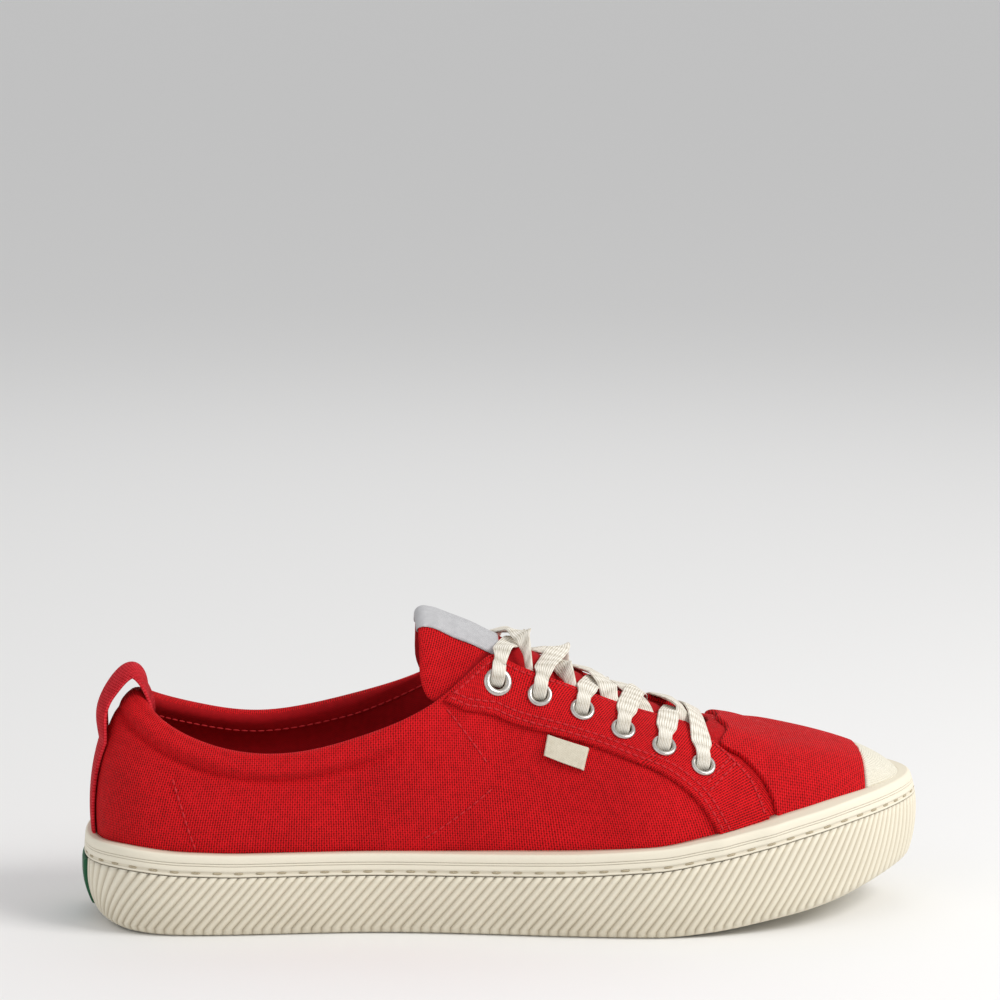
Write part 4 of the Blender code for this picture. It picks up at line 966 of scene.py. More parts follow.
# %% Seams and dents of the upper
SEAM_PULL = 0.34 * MM
SEAM_REACH = 1.3 * MM
QUARTER_SEAMS = {
    "quarter_seam_high": [(128.0, 78.5), (134.9, 69.8), (143.4, 57.7)],
    "quarter_seam_low": [(143.8, 50.8), (131.0, 40.9), (118.4, 32.6)],
    "heel_seam": [(32.3, 55.4), (36.0, 43.2), (40.6, 29.2)],
}
Dent = namedtuple("Dent", "x z depth wide high")
DENTS = [Dent(*row) for row in (
    (60, 40, 0.6, 13, 9), (98, 46, 0.9, 10, 13), (112, 36, -0.5, 9, 12), (163, 42, 0.8, 16, 8),
    (190, 36, 0.5, 9, 7), (78, 34, -0.4, 12, 8))]


def spots_in_mm(places):
    return [Spot(x * MM / SHOE_LENGTH, z * MM / THROAT_HEIGHT) for x, z in places]


paths = [trail(locate_spots(spots_in_mm(places), side), 160)
         for side in (LATERAL, MEDIAL) for places in QUARTER_SEAMS.values()]
seams_near = search_tree(skin(*np.concatenate(paths).T))


def cloth_marks(points):
    """How far the cloth lies below the last: puckers along its seams and soft dents."""
    away = np.array([seams_near.find(point)[2] for point in points.reshape(-1, 3)]).reshape(points.shape[:-1])
    marks = -SEAM_PULL * np.exp(-(away / SEAM_REACH) ** 2)
    x, z = points[..., 0] / MM, points[..., 2] / MM
    for dent in DENTS:
        spread = ((x - dent.x) / dent.wide) ** 2 + ((z - dent.z) / dent.high) ** 2
        marks = marks - dent.depth * MM * np.exp(-spread)
    return marks


# %% The wall, its collar roll and its lining
COLLAR_SWELL = 1.2 * MM
CREASE_DEPTH = 1.7 * MM
CREASE_WIDTH = 2.0 * MM
HOLLOW_DEPTH = 0.6 * MM
HOLLOW_BELOW = 7 * MM
HOLLOW_WIDTH = 5 * MM
# share of the padding's thickness that is left down at the insole
LOW_PADDING = 0.12
# rows of the lip that still belong to the lining, on the outside of its roll
LINING_TURN = 4


def collar_climbs(share):
    """A column's length, and how far up it the collar's crease lies and its lip begins."""
    length = column_length(share)
    return length, 1 - COLLAR_ROLL / length, 1 - lip_radius(share) / length


def upper_relief(share, climb):
    """Soft swelling of the collar and the crease under it."""
    length, crease, lip_top = collar_climbs(share)
    from_crease = (climb - crease) * length
    swell = np.clip((climb - crease) / (lip_top - crease), 0, 1)
    depth = padding_share(share) * (0.2 + 0.8 * fade(heel_distance(share), 5 * MM, 22 * MM))
    relief = cloth_marks(skin(share, climb)) + COLLAR_SWELL * depth * np.sin(np.pi * swell) ** 0.8
    relief = relief - CREASE_DEPTH * depth * np.exp(-(from_crease / CREASE_WIDTH) ** 2)
    return relief - HOLLOW_DEPTH * depth * np.exp(-((from_crease + HOLLOW_BELOW) / HOLLOW_WIDTH) ** 2)


def make_upper():
    """Rows up the outside, over the lip and down the inside, and where the inside begins."""
    shares = np.linspace(0, 1, 481)
    _, crease, lip_top = collar_climbs(shares)
    lip = lip_radius(shares)
    levels = np.concatenate([np.linspace(0, 0.93, 44)[:-1], np.linspace(0.93, 1, 9)])
    climbs = [crease * level for level in levels]
    climbs += [crease + (lip_top - crease) * level for level in np.linspace(0, 1, 13)[1:]]
    rows = [off_skin(shares, climb, upper_relief(shares, climb)) for climb in climbs]
    middle = off_skin(shares, lip_top, -lip)
    across = skin_normal(shares, lip_top)
    step = 0.0004
    upwards = unit(skin(shares, lip_top + step) - skin(shares, lip_top - step))
    for angle in np.radians(np.linspace(0, 180, 13)[1:-1]):
        rows.append(middle + (across * math.cos(angle) + upwards * math.sin(angle)) * lip[:, None])
    outside = len(rows) - LINING_TURN
    rows.append(off_skin(shares, lip_top, -2 * lip))
    for level in np.linspace(0, 1, 26)[1:]:
        climb = lip_top * (1 - level)
        swell = LOW_PADDING + (1 - LOW_PADDING) * fade(climb, crease * 0.8, lip_top)
        rows.append(off_skin(shares, climb, -WALL - (COLLAR_PAD - WALL) * padding_share(shares) * swell))
    points = np.stack(rows)
    return points, cloth_uvs(runs_of(points, 1)[26], points), outside


def punch(piece, places, radius):
    """Open the cloth at the eyelets; the metal covers the cut edges."""
    holes = [(Vector(skin(*place) - MIDDLE), Vector(skin_normal(*place))) for place in places]

    def in_hole(centre):
        for middle, axis in holes:
            away = centre - middle
            along = away.dot(axis)
            if abs(along) < 6 * MM and (away - axis * along).length < radius:
                return True
        return False

    with edited(piece.data) as mesh:
        doomed = [face for face in mesh.faces if in_hole(face.calc_center_median())]
        bmesh.ops.delete(mesh, geom=doomed, context="FACES")


PUNCHED_WIDER = 0.6 * MM
eyelet_places = {side: locate_spots(EYELETS, side) for side in (LATERAL, MEDIAL)}
points, uvs, outside = make_upper()
upper = lay_grid("canvas_upper", points, uvs)
inside = np.arange(len(upper.data.polygons)) // (points.shape[1] - 1) >= outside
upper.data.polygons.foreach_set("material_index", inside.astype(int))
punch(upper, eyelet_places[LATERAL] + eyelet_places[MEDIAL], EYELET_BORE / 2 + PUNCHED_WIDER)
dress(upper, canvas, "canvas", "upper")
upper.data.materials.append(lining.material)


# %% [markdown]
# ## Overlays
#
# The vamp, the toe cap and the two eyestays are cut from flat cloth or rubber and laid over the upper.
# Each is a grid between two lines drawn on the last. Its height is the overlay's thickness, except near
# its edges, where a folded edge rolls down to the cloth underneath.

# %% A helper for laid pieces
def edge_steps(length, radius, count):
    """Shares from edge to edge, close together where the edges roll."""
    close = np.array([0, 0.06, 0.18, 0.36, 0.62, 1.0]) * radius / length
    return np.concatenate([close, np.linspace(close[-1], 1 - close[-1], count)[1:-1], 1 - close[::-1]])


def widths(first, second):
    """How wide a laid piece is between its two edge lines."""
    return np.linalg.norm(skin(*first.T) - skin(*second.T), axis=-1)


def lay_piece(name, first, second, count, height, edge=0.9 * MM, relief=None):
    """A laid piece: rows go along its two edge lines, columns from the first edge to the second."""
    shares = edge_steps(float(np.median(widths(first, second))), edge, count)[:, None]
    places = first[:, None] * (1 - shares) + second[:, None] * shares
    ground = skin(places[..., 0], places[..., 1])
    runs = runs_of(ground, 1)
    from_edge = np.minimum(runs, runs[:, -1:] - runs)
    lift = height * rolled(from_edge, edge)
    if relief is not None:
        lift = lift + relief(ground, runs, runs[:, -1:] - runs) * rolled(from_edge, 3 * MM)
    points = off_skin(places[..., 0], places[..., 1], lift)
    along = runs_of(points, 0)[:, points.shape[1] // 2]
    uvs = np.stack([np.broadcast_to(along[:, None], lift.shape), runs], axis=-1)
    return turn_out(lay_grid(name, points, uvs)), points


# %% The vamp and the toe cap
def cap_line(shares, gap):
    """Places along the toe cap's upper edge, straight across the toe and bowed a little forward."""
    bow = CAP_LINE_BOW * (1 - ((shares - TOE) / 0.06) ** 2)
    distance = (CAP_LINE_X + bow) * SHOE_LENGTH - gap
    return np.stack([shares, climb_to(shares, distance, axis=0, top=1.0)], axis=-1)


def cap_ends():
    """Shares where the toe cap's edge goes down behind the band, on the outer and inner side."""
    ends = []
    for side in (LATERAL, MEDIAL):
        height = side_top(CAP_LINE_X * SHOE_LENGTH) - HEM_BELOW_BAND / 2
        ends.append(locate((CAP_LINE_X + 0.003) * SHOE_LENGTH, height, side)[0])
    return ends


def hem_climb(shares):
    """Where an overlay ends, behind the band."""
    return climb_to(shares, side_top(outline(shares)[..., 0]) - HEM_BELOW_BAND)


def at_hem(share):
    """The place behind the band at a share round the shoe."""
    return np.array([share, float(hem_climb(np.array(share)))])


def trough(points, start, end, depth, width):
    """A soft crease along a line, seen from above: start and end are x and y in mm."""
    a, b = np.array(start) * MM, np.array(end) * MM
    along = b - a
    share = np.clip(((points[..., :2] - a) @ along) / (along @ along), 0, 1)
    away = np.linalg.norm(points[..., :2] - (a + share[..., None] * along), axis=-1)
    taper = np.sin(np.pi * np.clip(share * 0.9 + 0.05, 0, 1)) ** 0.5
    return -depth * MM * taper * np.exp(-(away / (width * MM)) ** 2)


VampCrease = namedtuple("VampCrease", "start end depth width")
VAMP_CREASES = [VampCrease(*row) for row in (
    ((236, -34), (252, -6), 0.7, 4.0), ((244, -40), (262, -20), 0.5, 3.5),
    ((233, 30), (250, 4), 0.6, 4.0), ((262, -26), (268, 10), 0.35, 3.0))]


def vamp_relief(ground, *_):
    return sum(trough(ground, *crease) for crease in VAMP_CREASES)


# the instep's axis and radius, which the vamp's weave goes round
INSTEP_AXIS = (-1 * MM, 6 * MM)
INSTEP_RADIUS = 46 * MM
BIAS = 1.06


def make_vamp():
    count = 181
    rear = {}
    for side in (LATERAL, MEDIAL):
        spots = [Spot(spot.x + VAMP_GROOVE / SHOE_LENGTH, spot.z) for spot in LEG_FRONT_EDGE]
        rear[side] = locate_spots(spots, side)
        rear[side].append(at_hem(rear[side][-1][0]))
    crown = 1 - 2.5 * lip_radius(np.array(TOE)) / column_length(np.array(TOE))
    behind = trail(rear[LATERAL][::-1] + [np.array([TOE, crown])] + rear[MEDIAL], count)
    ends = cap_ends()
    line = cap_line(np.linspace(*ends, 31), 2 * GAP)
    step = 2 * GAP / PERIMETER
    low = np.array([at_hem(end) for end in ends])
    low[:, 0] += -2 * step, 2 * step
    line[[0, -1], 0] += -step, step
    ahead = trail([low[0], *line, low[1]], count)
    piece, points = lay_piece("canvas_vamp", behind, ahead, 70, SEAT + OVERLAY, 1.1 * MM, vamp_relief)
    turn = np.arctan2(points[..., 1] - INSTEP_AXIS[0], np.maximum(points[..., 2] - INSTEP_AXIS[1], 1 * MM))
    write_uvs(piece.data, np.stack([points[..., 0] * BIAS, turn * INSTEP_RADIUS], axis=-1))
    return piece


vamp = dress(thicken(make_vamp(), 0.5 * MM), canvas, "canvas", "vamp")


def make_cap():
    shares = np.linspace(*cap_ends(), 121)
    top = cap_line(shares, -0.2 * MM)
    top[:, 1] = np.minimum(top[:, 1] + 0.012, 0.98)
    bottom = np.stack([shares, np.minimum(hem_climb(shares), top[:, 1] - 0.03)], axis=-1)
    return lay_piece("ribbed_toe_cap", bottom, top, 40, SEAT + OVERLAY - 0.25 * MM, 1.2 * MM)[0]


def ribbed_rubber():
    """Ivory rubber pressed with fine lines that follow the toe's edge."""
    rubber = moulded("striated rubber", linear(233, 228, 211), linear(158, 148, 126))
    place = rubber.thread_map()
    wave = rubber.maths("SINE", rubber.maths("MULTIPLY", rubber.split(place)[1], 2 * math.pi / CAP_RIB_PITCH))
    height = rubber.maths("MULTIPLY", wave, rubber.maths("ADD", rubber.noise(place, 600.0, 2.0), 0.35))
    under = rubber.shader.inputs["Normal"].links[0].from_socket
    rubber.shade(Normal=rubber.bump(height, 0.12 * MM, under=under))
    return rubber


dress(thicken(make_cap(), 0.5 * MM), ribbed_rubber(), "ivory_rubber", "toe_cap")

# %% The eyestays
SEAM_INSETS = (1.9 * MM, 4.1 * MM)


def facing_lines(side, count):
    """The eyestay's two edges: the opening's edge and leg front, and the lower edge and leg back."""
    lower = locate_spots(FACING_LOWER_EDGE, side)
    front = locate_spots(LEG_FRONT_EDGE, side)
    back_share = lower[0][0] + 0.004 * -side
    throat_shares = np.linspace(back_share, front[0][0] - 0.006 * -side, 16)
    edge_climb = 1 - 1.2 * lip_radius(throat_shares) / column_length(throat_shares)
    upper = [np.array(place) for place in zip(throat_shares, edge_climb)] + front[1:]
    return trail(upper, count), trail(lower, count)


def seam_dents(ground, from_throat, from_hem):
    """The shallow lines that the eyestay's seams pull into its cloth."""
    misses = [from_throat - SEAM_INSETS[0]] + [from_hem - inset for inset in SEAM_INSETS]
    return -0.22 * MM * sum(np.exp(-(miss / (0.7 * MM)) ** 2) for miss in misses)


for side, side_name in SIDES:
    first, second = facing_lines(side, 261)
    facing, _ = lay_piece(f"eyestay_canvas_{side_name}", first, second, 60, SEAT + OVERLAY,
                          relief=seam_dents)
    punch(facing, eyelet_places[side], EYELET_BORE / 2 + PUNCHED_WIDER - 0.1 * MM)
    dress(thicken(facing, 0.5 * MM), canvas, "canvas", f"eyestay_{side_name}")

# %% [markdown]
# ## The side tab
#
# A small ivory tab is caught in the eyestay's lower seam. It stays blank.

# %% The tab
TAB_THICKNESS = 0.8 * OVERLAY
corners = locate_spots(TAB_CORNERS, LATERAL)
first = np.linspace(corners[0], corners[3], 41)
second = np.linspace(corners[1], corners[2], 41)
tab, _ = lay_piece("plain_side_tab", first, second, 40, SEAT + TAB_THICKNESS, 0.5 * MM)
dress(thicken(tab, 0.6 * MM), ribbon_cloth, "ivory_rubber", "side_tab")

# %% [markdown]
# ## The heel tape and pull loop
#
# A cotton tape covers the seam at the back of the heel, leaves the shoe above it, makes a loop big
# enough for a finger and is sewn down inside the collar. It is one ribbon, so one grid follows it all
# the way: five rows come from the last, and the loop's rows follow a short table of places.

# %% The tape
def heel_place(y, height):
    """The place on the heel at a distance to the side and a height."""
    return home_in(np.array([-y / PERIMETER, 0.5]), np.array([y, height]), slice(1, 3), 0.1)


def inner_rows(sideways):
    """The loop's sewn end: rows of points down the inside of the collar at the heel."""
    heel_length = float(column_length(np.array(HEEL)))
    lip = float(lip_radius(np.array(HEEL)))
    shares = np.linspace(-0.05, 0.05, 81)
    rows = []
    for down in (lip, (lip + LOOP_TAIL) / 2, LOOP_TAIL):
        points = off_skin(shares, 1 - down / heel_length, -COLLAR_PAD - LOOP_SEAT - OVERLAY / 2)
        points = points[np.argsort(points[:, 1])]
        rows.append(points_at(sideways, points[:, 1], points))
    return rows


LOOP_EASING = 24
LOOP_CUP = 4.0 * MM


def make_tape():
    across = np.linspace(-1, 1, 25)
    centre = len(across) // 2
    start = float(side_top(0.0)) - HEM_BELOW_BAND
    rows = []
    for height in np.linspace(start, LOOP_ROUTE[0].z * THROAT_HEIGHT - 9 * MM, 24):
        places = np.array([heel_place(share * STRIP_WIDTH / 2, height) for share in across])
        rows.append(off_skin(*places.T, SEAT + OVERLAY / 2))
    ends = inner_rows(across * LOOP_WIDTH / 2)
    bowl, end_bowl = (row[:, 0] - row[centre, 0] for row in (rows[-1], ends[0]))
    route = [(spot.x * SHOE_LENGTH - 0.4 * MM, spot.z * THROAT_HEIGHT + 0.3 * MM) for spot in LOOP_ROUTE]
    route = np.array([rows[-1][centre, ::2], *route, ends[0][centre, ::2]])
    knots = lengths_along(route)
    shares = np.linspace(0, 1, 56)
    path = run_curve(knots, route)(shares * knots[-1])
    for _ in range(LOOP_EASING):
        path[1:-1] = (path[:-2] + 2 * path[1:-1] + path[2:]) / 4
    travel = unit(np.gradient(path, axis=0))
    for share, (x, z), (ahead, up) in list(zip(shares, path, travel))[1:-1]:
        bend = bowl * (1 - fade(share, 0, 0.35)) + end_bowl * fade(share, 0.7, 1)
        cup = LOOP_CUP * across ** 2 * np.sin(np.pi * share)
        half = (STRIP_WIDTH + (LOOP_WIDTH - STRIP_WIDTH) * fade(share, 0, 0.35)) / 2
        rows.append(np.stack([x + bend + up * cup, across * half, z - ahead * cup], axis=-1))
    points = np.stack(rows + ends)
    return lay_grid("heel_tape_and_loop", points, cloth_uvs(across * STRIP_WIDTH / 2, points))


dress(thicken(make_tape(), OVERLAY * 0.9, 0.0), tape, "tape", "heel_strip")

# %% [markdown]
# ## The tongue and its label
#
# The tongue is a padded leaf, arched across the instep. A ring of points goes round its section, thick
# in the middle and thin at its sides, and rings from its top to its root make the leaf. The satin label
# is a ribbon folded over its top, and stays blank.

# %% The padded tongue
def tongue_top(x, y):
    """Height of the tongue's upper face, clear of the wall over it."""
    height, half_width, arch, _ = np.moveaxis(tongue_at(x / SHOE_LENGTH), -1, 0)
    drop = arch * THROAT_HEIGHT * np.abs(y / (half_width * BALL_WIDTH)) ** ARCH_POWER
    return height * THROAT_HEIGHT - WALL - GAP - drop


def tongue_point(x, y, height):
    """A point at a height over the tongue's face."""
    step = 0.1 * MM
    slope_x = (tongue_top(x + step, y) - tongue_top(x - step, y)) / (2 * step)
    slope_y = (tongue_top(x, y + step) - tongue_top(x, y - step)) / (2 * step)
    away = unit(np.stack([-slope_x, -slope_y, np.ones(np.shape(x))], axis=-1))
    point = np.stack([x, y, tongue_top(x, y)], axis=-1)
    return point + away * np.asarray(height, float)[..., None]


TONGUE_CORNER = 5 * MM
TONGUE_END_ROUND = 4.5 * MM
TONGUE_SIDE_ROUND = 3.4 * MM
# a stitched channel runs down each side of the tongue
CHANNEL_INSET = 5 * MM
CHANNEL_DEPTH = 0.5 * MM


def leaf_thickness(row, across):
    return TONGUE_THICKNESS * row[3] * (1 - 0.55 * across ** 2)


def make_tongue():
    across = np.sin(np.linspace(-math.pi / 2, math.pi / 2, 49))
    start, end = TONGUE_ROWS[0].x, TONGUE_ROWS[-1].x
    length = (end - start) * SHOE_LENGTH
    rows = []
    for share in edge_steps(length, TONGUE_END_ROUND, 70):
        x = np.full(across.shape, (start + (end - start) * share) * SHOE_LENGTH)
        row = tongue_at(x[0] / SHOE_LENGTH)
        wide = row[1] * BALL_WIDTH
        thick = leaf_thickness(row, across)
        ends = rolled(np.minimum(share, 1 - share) * length, TONGUE_END_ROUND)
        half = thick / 2 * ends * rolled((1 - np.abs(across)) * wide, TONGUE_SIDE_ROUND)
        below_top = TONGUE_CORNER - min(share * length, TONGUE_CORNER)
        corner = TONGUE_CORNER - math.sqrt(TONGUE_CORNER ** 2 - below_top ** 2)
        y = across * (wide - corner)
        channel = CHANNEL_DEPTH * np.exp(-((np.abs(y) - wide + CHANNEL_INSET) / (1.0 * MM)) ** 2) * ends
        over = tongue_point(x, y, -thick / 2 + half - channel)
        under = tongue_point(x, y, -thick / 2 - half)
        rows.append(np.concatenate([over, under[::-1][1:], over[:1]]))
    points = np.stack(rows)
    girth = runs_of(points, 1)
    uvs = np.stack([runs_of(points, 0), girth - girth[:, 24:25]], axis=-1)
    piece = lay_grid("padded_tongue", points, uvs, joined=True)
    lower = np.arange(len(piece.data.polygons)) % (points.shape[1] - 1) >= len(across) - 1
    return piece, lower


tongue, lower = make_tongue()
tongue.data.polygons.foreach_set("material_index", lower.astype(int))
dress(turn_out(tongue, (30 * MM, 0, 20 * MM)), canvas, "canvas", "tongue")
tongue.data.materials.append(lining.material)


# %% The blank label
LABEL_FOLD = 2.4 * MM
LABEL_LIFT = 0.35 * MM


def make_label():
    top = TONGUE_ROWS[0].x * SHOE_LENGTH
    across = np.linspace(-1, 1, 23) * LABEL_WIDTH / 2
    row = tongue_at(TONGUE_ROWS[0].x)
    thick = leaf_thickness(row, across / (row[1] * BALL_WIDTH))

    def line(run, height):
        return tongue_point(np.full(across.shape, top + run), across, height)

    lines = [line(run, LABEL_LIFT) for run in np.linspace(LABEL_LENGTH + 1.5 * MM, LABEL_FOLD, 26)]
    for angle in np.radians(np.linspace(0, 180, 11)):
        rim = line(LABEL_FOLD, -thick / 2 + (thick / 2 + LABEL_LIFT) * math.cos(angle))
        rim[:, 0] -= (LABEL_FOLD + LABEL_LIFT) * math.sin(angle)
        lines.append(rim)
    lines += [line(run, -thick - 0.3 * MM) for run in np.linspace(3.2 * MM, 12 * MM, 9)]
    points = np.stack(lines)
    return lay_grid("blank_label", points, cloth_uvs(across, points))


label = dress(thicken(make_label(), 0.45 * MM, 0.0), satin, "satin", "tongue_label")

# %% [markdown]
# ## The insole
#
# Inside lies a sock of the same smooth cotton as the lining. It is a grid from the outer to the inner
# side, with a low hollow under the heel.

# %% The sock
def make_sock():
    lateral = np.linspace(0.004, TOE - 0.004, 90)
    x_want = outline(lateral)[..., 0]
    medial = np.linspace(TOE + 0.004, 0.996, 400)
    medial = np.interp(-x_want, -outline(medial)[..., 0], medial)
    left, right = (skin(shares, 0) - outwards(shares) * (WALL + GAP) for shares in (lateral, medial))
    across = np.linspace(0, 1, 41)[None, :, None]
    points = left[:, None, :] * (1 - across) + right[:, None, :] * across
    edge = np.minimum(across, 1 - across)[..., 0]
    rise = 0.8 * MM * (1 - fade(edge, 0, 0.25))
    points[..., 2] = cup_floor(points[..., 0]) + GAP + INSOLE_THICKNESS + rise
    return lay_grid("sock", points, points[..., :2])


dress(thicken(turn_out(make_sock(), (0, 0, 0)), 3.2 * MM), lining, "lining", "insole")

# %% [markdown]
# ## The eyelets
#
# An eyelet is a short tube with a rolled flange. Its section is a small curve, spun once round its axis.
# The top one on each side is larger and flatter, like a washer.

# %% Spin the eyelets
def make_eyelet(name, place, width):
    """A tube and its flange, spun round an axis that points out of the shoe."""
    bore, rim = EYELET_BORE / 2, width / 2
    seat = SEAT + OVERLAY + 0.05 * MM
    profile = [(bore + 0.35 * MM, -2.4 * MM), (bore, -2.0 * MM), (bore, seat + 0.25 * MM)]
    middle, half = (bore + rim) / 2, (rim - bore) / 2
    for angle in np.radians(np.linspace(160, 5, 9)):
        profile.append((middle + half * math.cos(angle), seat + FLANGE_HEIGHT * math.sin(angle) * 0.95))
    profile += [(rim - 0.1 * MM, seat - 0.35 * MM), (bore + 0.6 * MM, seat - 0.3 * MM)]
    turn = Vector(skin_normal(*place)).to_track_quat("Z", "Y").to_matrix().to_4x4()
    where = Matrix.Translation(Vector(skin(*place) - MIDDLE)) @ turn
    data = bpy.data.meshes.new(name)
    with edited(data) as mesh:
        ring = [mesh.verts.new((radius, 0, height)) for radius, height in profile]
        edges = [mesh.edges.new(pair) for pair in zip(ring, ring[1:])]
        bmesh.ops.spin(mesh, geom=ring + edges, axis=(0, 0, 1), cent=(0, 0, 0), angle=2 * math.pi, steps=40,
                       use_merge=True)
        bmesh.ops.recalc_face_normals(mesh, faces=mesh.faces)
        bmesh.ops.transform(mesh, matrix=where, verts=mesh.verts)
    return add_piece(name, data)


eyelets = []
for side, side_name in SIDES:
    for i, place in enumerate(eyelet_places[side]):
        width = TOP_EYELET_WIDTH if i == 0 else EYELET_WIDTH
        ring = make_eyelet(f"nickel_eyelet_{side_name}_{i + 1}", place, width)
        eyelets.append(dress(ring, nickel, "nickel", f"eyelet_{side_name}_{i + 1}"))


# %% [markdown]
# ## The lace
#
# One flat cotton lace holds the shoe together. A bar lies across the lowest pair of eyelets. Above it
# the lace goes down into each eyelet and comes out from under the far eyestay, so each pair makes a
# cross. A taut lace takes the shortest way over what is under it, so each stretch is found by dropping
# its points on the shoe and pulling the line straight wherever it can be straight.

# %% Lay a flat lace over the shoe
def trees_of(pieces):
    """Search trees over finished pieces, with their modifiers applied."""
    graph = bpy.context.evaluated_depsgraph_get()
    return [BVHTree.FromObject(piece, graph) for piece in pieces]


def height_under(trees, x, y, missing=0.03):
    """The highest point of some pieces over a place on the floor."""
    start = Vector((x, y, 0.2))
    hits = [tree.ray_cast(start, Vector((0, 0, -1)))[0] for tree in trees]
    return max([hit.z for hit in hits if hit is not None], default=missing)


def pull_straight(line, free):
    """Raise the low points of a line of heights until no part of it sags."""
    for _ in range(600):
        line[1:-1] = np.where(free[1:-1], np.maximum(line[1:-1], (line[:-2] + line[2:]) / 2), line[1:-1])
    return line


# %% A taut stretch of flat lace
# the lines of a lace that are dropped on the shoe, in half widths from its middle
HANDS = np.array([-1, -0.5, 0, 0.5, 1])
LACE_ROWS = 97
LACE_EASING = 14
# how deep the lace passes under the far eyestay, how far it goes on there and how steeply it goes down
UNDER_FACING = 2.5 * MM
HIDDEN_LENGTH = 1.3 * MM
DIVE_SLOPE = 3.0
# the height that stands for no eyestay overhead
NO_ROOF = 1.0
HOLE_TURN = 3.9 * MM
PLUNGE_ROWS = 22
# past this share of its way a crossing meets only the tongue and the lace before it
UNDER_SIDE_FROM = 0.66
# the lace is narrower near an eyelet and at its hidden end
HOLE_WIDTH_SHARE = 0.66
FULL_WIDTH_FROM = (3.0 * MM, 8.5 * MM)
HIDDEN_END_WIDTH = 0.7


# an eyelet: its place on the floor plan, its centre and the way it faces
Hole = namedtuple("Hole", "plan centre outwards")


def tuck_under(edges, plans, run, roof):
    """Lower the ends of two lines of heights under the far eyestay, and say which row is hidden."""
    ceilings = np.array([[height_under(roof, *spot, missing=NO_ROOF) for spot in plan] for plan in plans])
    covered = (ceilings.max(axis=0) < NO_ROOF) & (run > run[-1] / 2)
    first = int(np.argmax(covered)) if covered.any() else len(run) - 1
    last = min(int(first + HIDDEN_LENGTH / run[1]), len(run) - 1)
    for line, ceiling in zip(edges, ceilings):
        far = slice(len(run) // 2, last + 1)
        line[far] = np.minimum(line[far], ceiling[far] - UNDER_FACING)
        for j in range(first - 1, len(run) // 2, -1):
            line[j] = min(line[j], line[j + 1] + DIVE_SLOPE * (run[j + 1] - run[j]))
    return last


def plunge(point, travel, lift, hole, half, thick):
    """Rows of a lace that leaves the flange's top and bends into the eyelet."""
    back = point - hole.centre
    back = unit(back - hole.outwards * (back @ hole.outwards))
    bends = [point, point + travel * 1.7 * MM, hole.centre + hole.outwards * 1.5 * MM + back * 0.4 * MM,
             hole.centre - hole.outwards * 2.6 * MM + back * 0.5 * MM]
    t = np.linspace(0, 1, PLUNGE_ROWS)[:, None]
    weights = [(1 - t) ** 3, 3 * t * (1 - t) ** 2, 3 * t ** 2 * (1 - t), t ** 3]
    centres = sum(weight * bend for weight, bend in zip(weights, bends))
    ahead = unit(np.gradient(centres, axis=0))
    aside = unit(np.cross(lift, travel))
    across = unit(aside - ahead * (ahead @ aside)[:, None])
    halves = half + (EYELET_BORE / 2 - 0.25 * MM - half) * fade(t[:, 0], 0, 0.75)
    thicks = thick + 0.5 * MM * fade(t[:, 0], 0.1, 0.8)
    return centres, across, unit(np.cross(ahead, across)), halves, thicks


def lace_stretch(name, near, end, far_hole, far_trees, trees, roof):
    """A ribbon from one eyelet over the shoe, into the far one or under the far eyestay."""
    start, end = near.plan, np.array(end)
    length = np.linalg.norm(end - start)
    along = (end - start) / length
    aside = np.array([-along[1], along[0]])
    shares = np.linspace(0, 1, LACE_ROWS)
    run = shares * length
    from_hole = np.minimum(run, length - run if far_hole else length)
    half = LACE_WIDTH / 2 * (HOLE_WIDTH_SHARE + (1 - HOLE_WIDTH_SHARE) * fade(from_hole, *FULL_WIDTH_FROM))
    if not far_hole:
        half = half * (1 - (1 - HIDDEN_END_WIDTH) * fade(shares, 0.6, 0.95))
    plans = [start + along * run[:, None] + aside * (hand * half)[:, None] for hand in HANDS]
    lines = np.array([[height_under(far_trees if not far_hole and share > UNDER_SIDE_FROM else trees, *spot)
                       for share, spot in zip(shares, plan)] for plan in plans])
    flat = (lines[0] + lines[-1]) / 2 + HANDS[:, None] * (lines[-1] - lines[0]) / 2
    excess = np.max(lines - flat, axis=0)
    left, right = flat[0] + excess, flat[-1] + excess
    free = run > HOLE_TURN * near.outwards[2]
    if far_hole:
        free &= length - run > HOLE_TURN * far_hole.outwards[2]
    kept = np.flatnonzero(free)
    for line in (left, right):
        line[:kept[0]] = line[kept[0]]
        line[kept[-1] + 1:] = line[kept[-1]]
        pull_straight(line, free)
        for _ in range(LACE_EASING):
            line[1:-1] = (line[:-2] + 2 * line[1:-1] + line[2:]) / 4
    if not far_hole:
        last = tuck_under((left, right), (plans[0], plans[-1]), run, roof)
        kept = kept[kept <= last]
    centre = np.column_stack([start + along * run[:, None], (left + right) / 2])[kept]
    across = unit(np.column_stack([aside * half[:, None], (right - left) / 2]))[kept]
    travel = unit(np.gradient(centre, axis=0))
    lift = unit(np.cross(travel, across))
    lift = lift * np.sign(lift[:, 2:])
    thick = np.full(len(kept), LACE_THICKNESS * 1.05)
    parts = [(centre, across, lift, half[kept], thick)]
    dive = plunge(centre[0], -travel[0], lift[0], near, half[kept[0]], thick[0])
    parts.insert(0, [part[:0:-1] for part in dive])
    if far_hole:
        dive = plunge(centre[-1], travel[-1], lift[-1], far_hole, half[kept[-1]], thick[-1])
        parts.append([part[1:] for part in dive])
    return ribbon(name, *[list(column) for column in zip(*parts)])


def aligned(parts):
    """Join runs of directions, each turned the way that the one before it ends."""
    signs = [1 if before[-1] @ after[0] > 0 else -1 for before, after in zip(parts, parts[1:])]
    return np.concatenate([part * sign for part, sign in zip(parts, np.cumprod([1] + signs))])


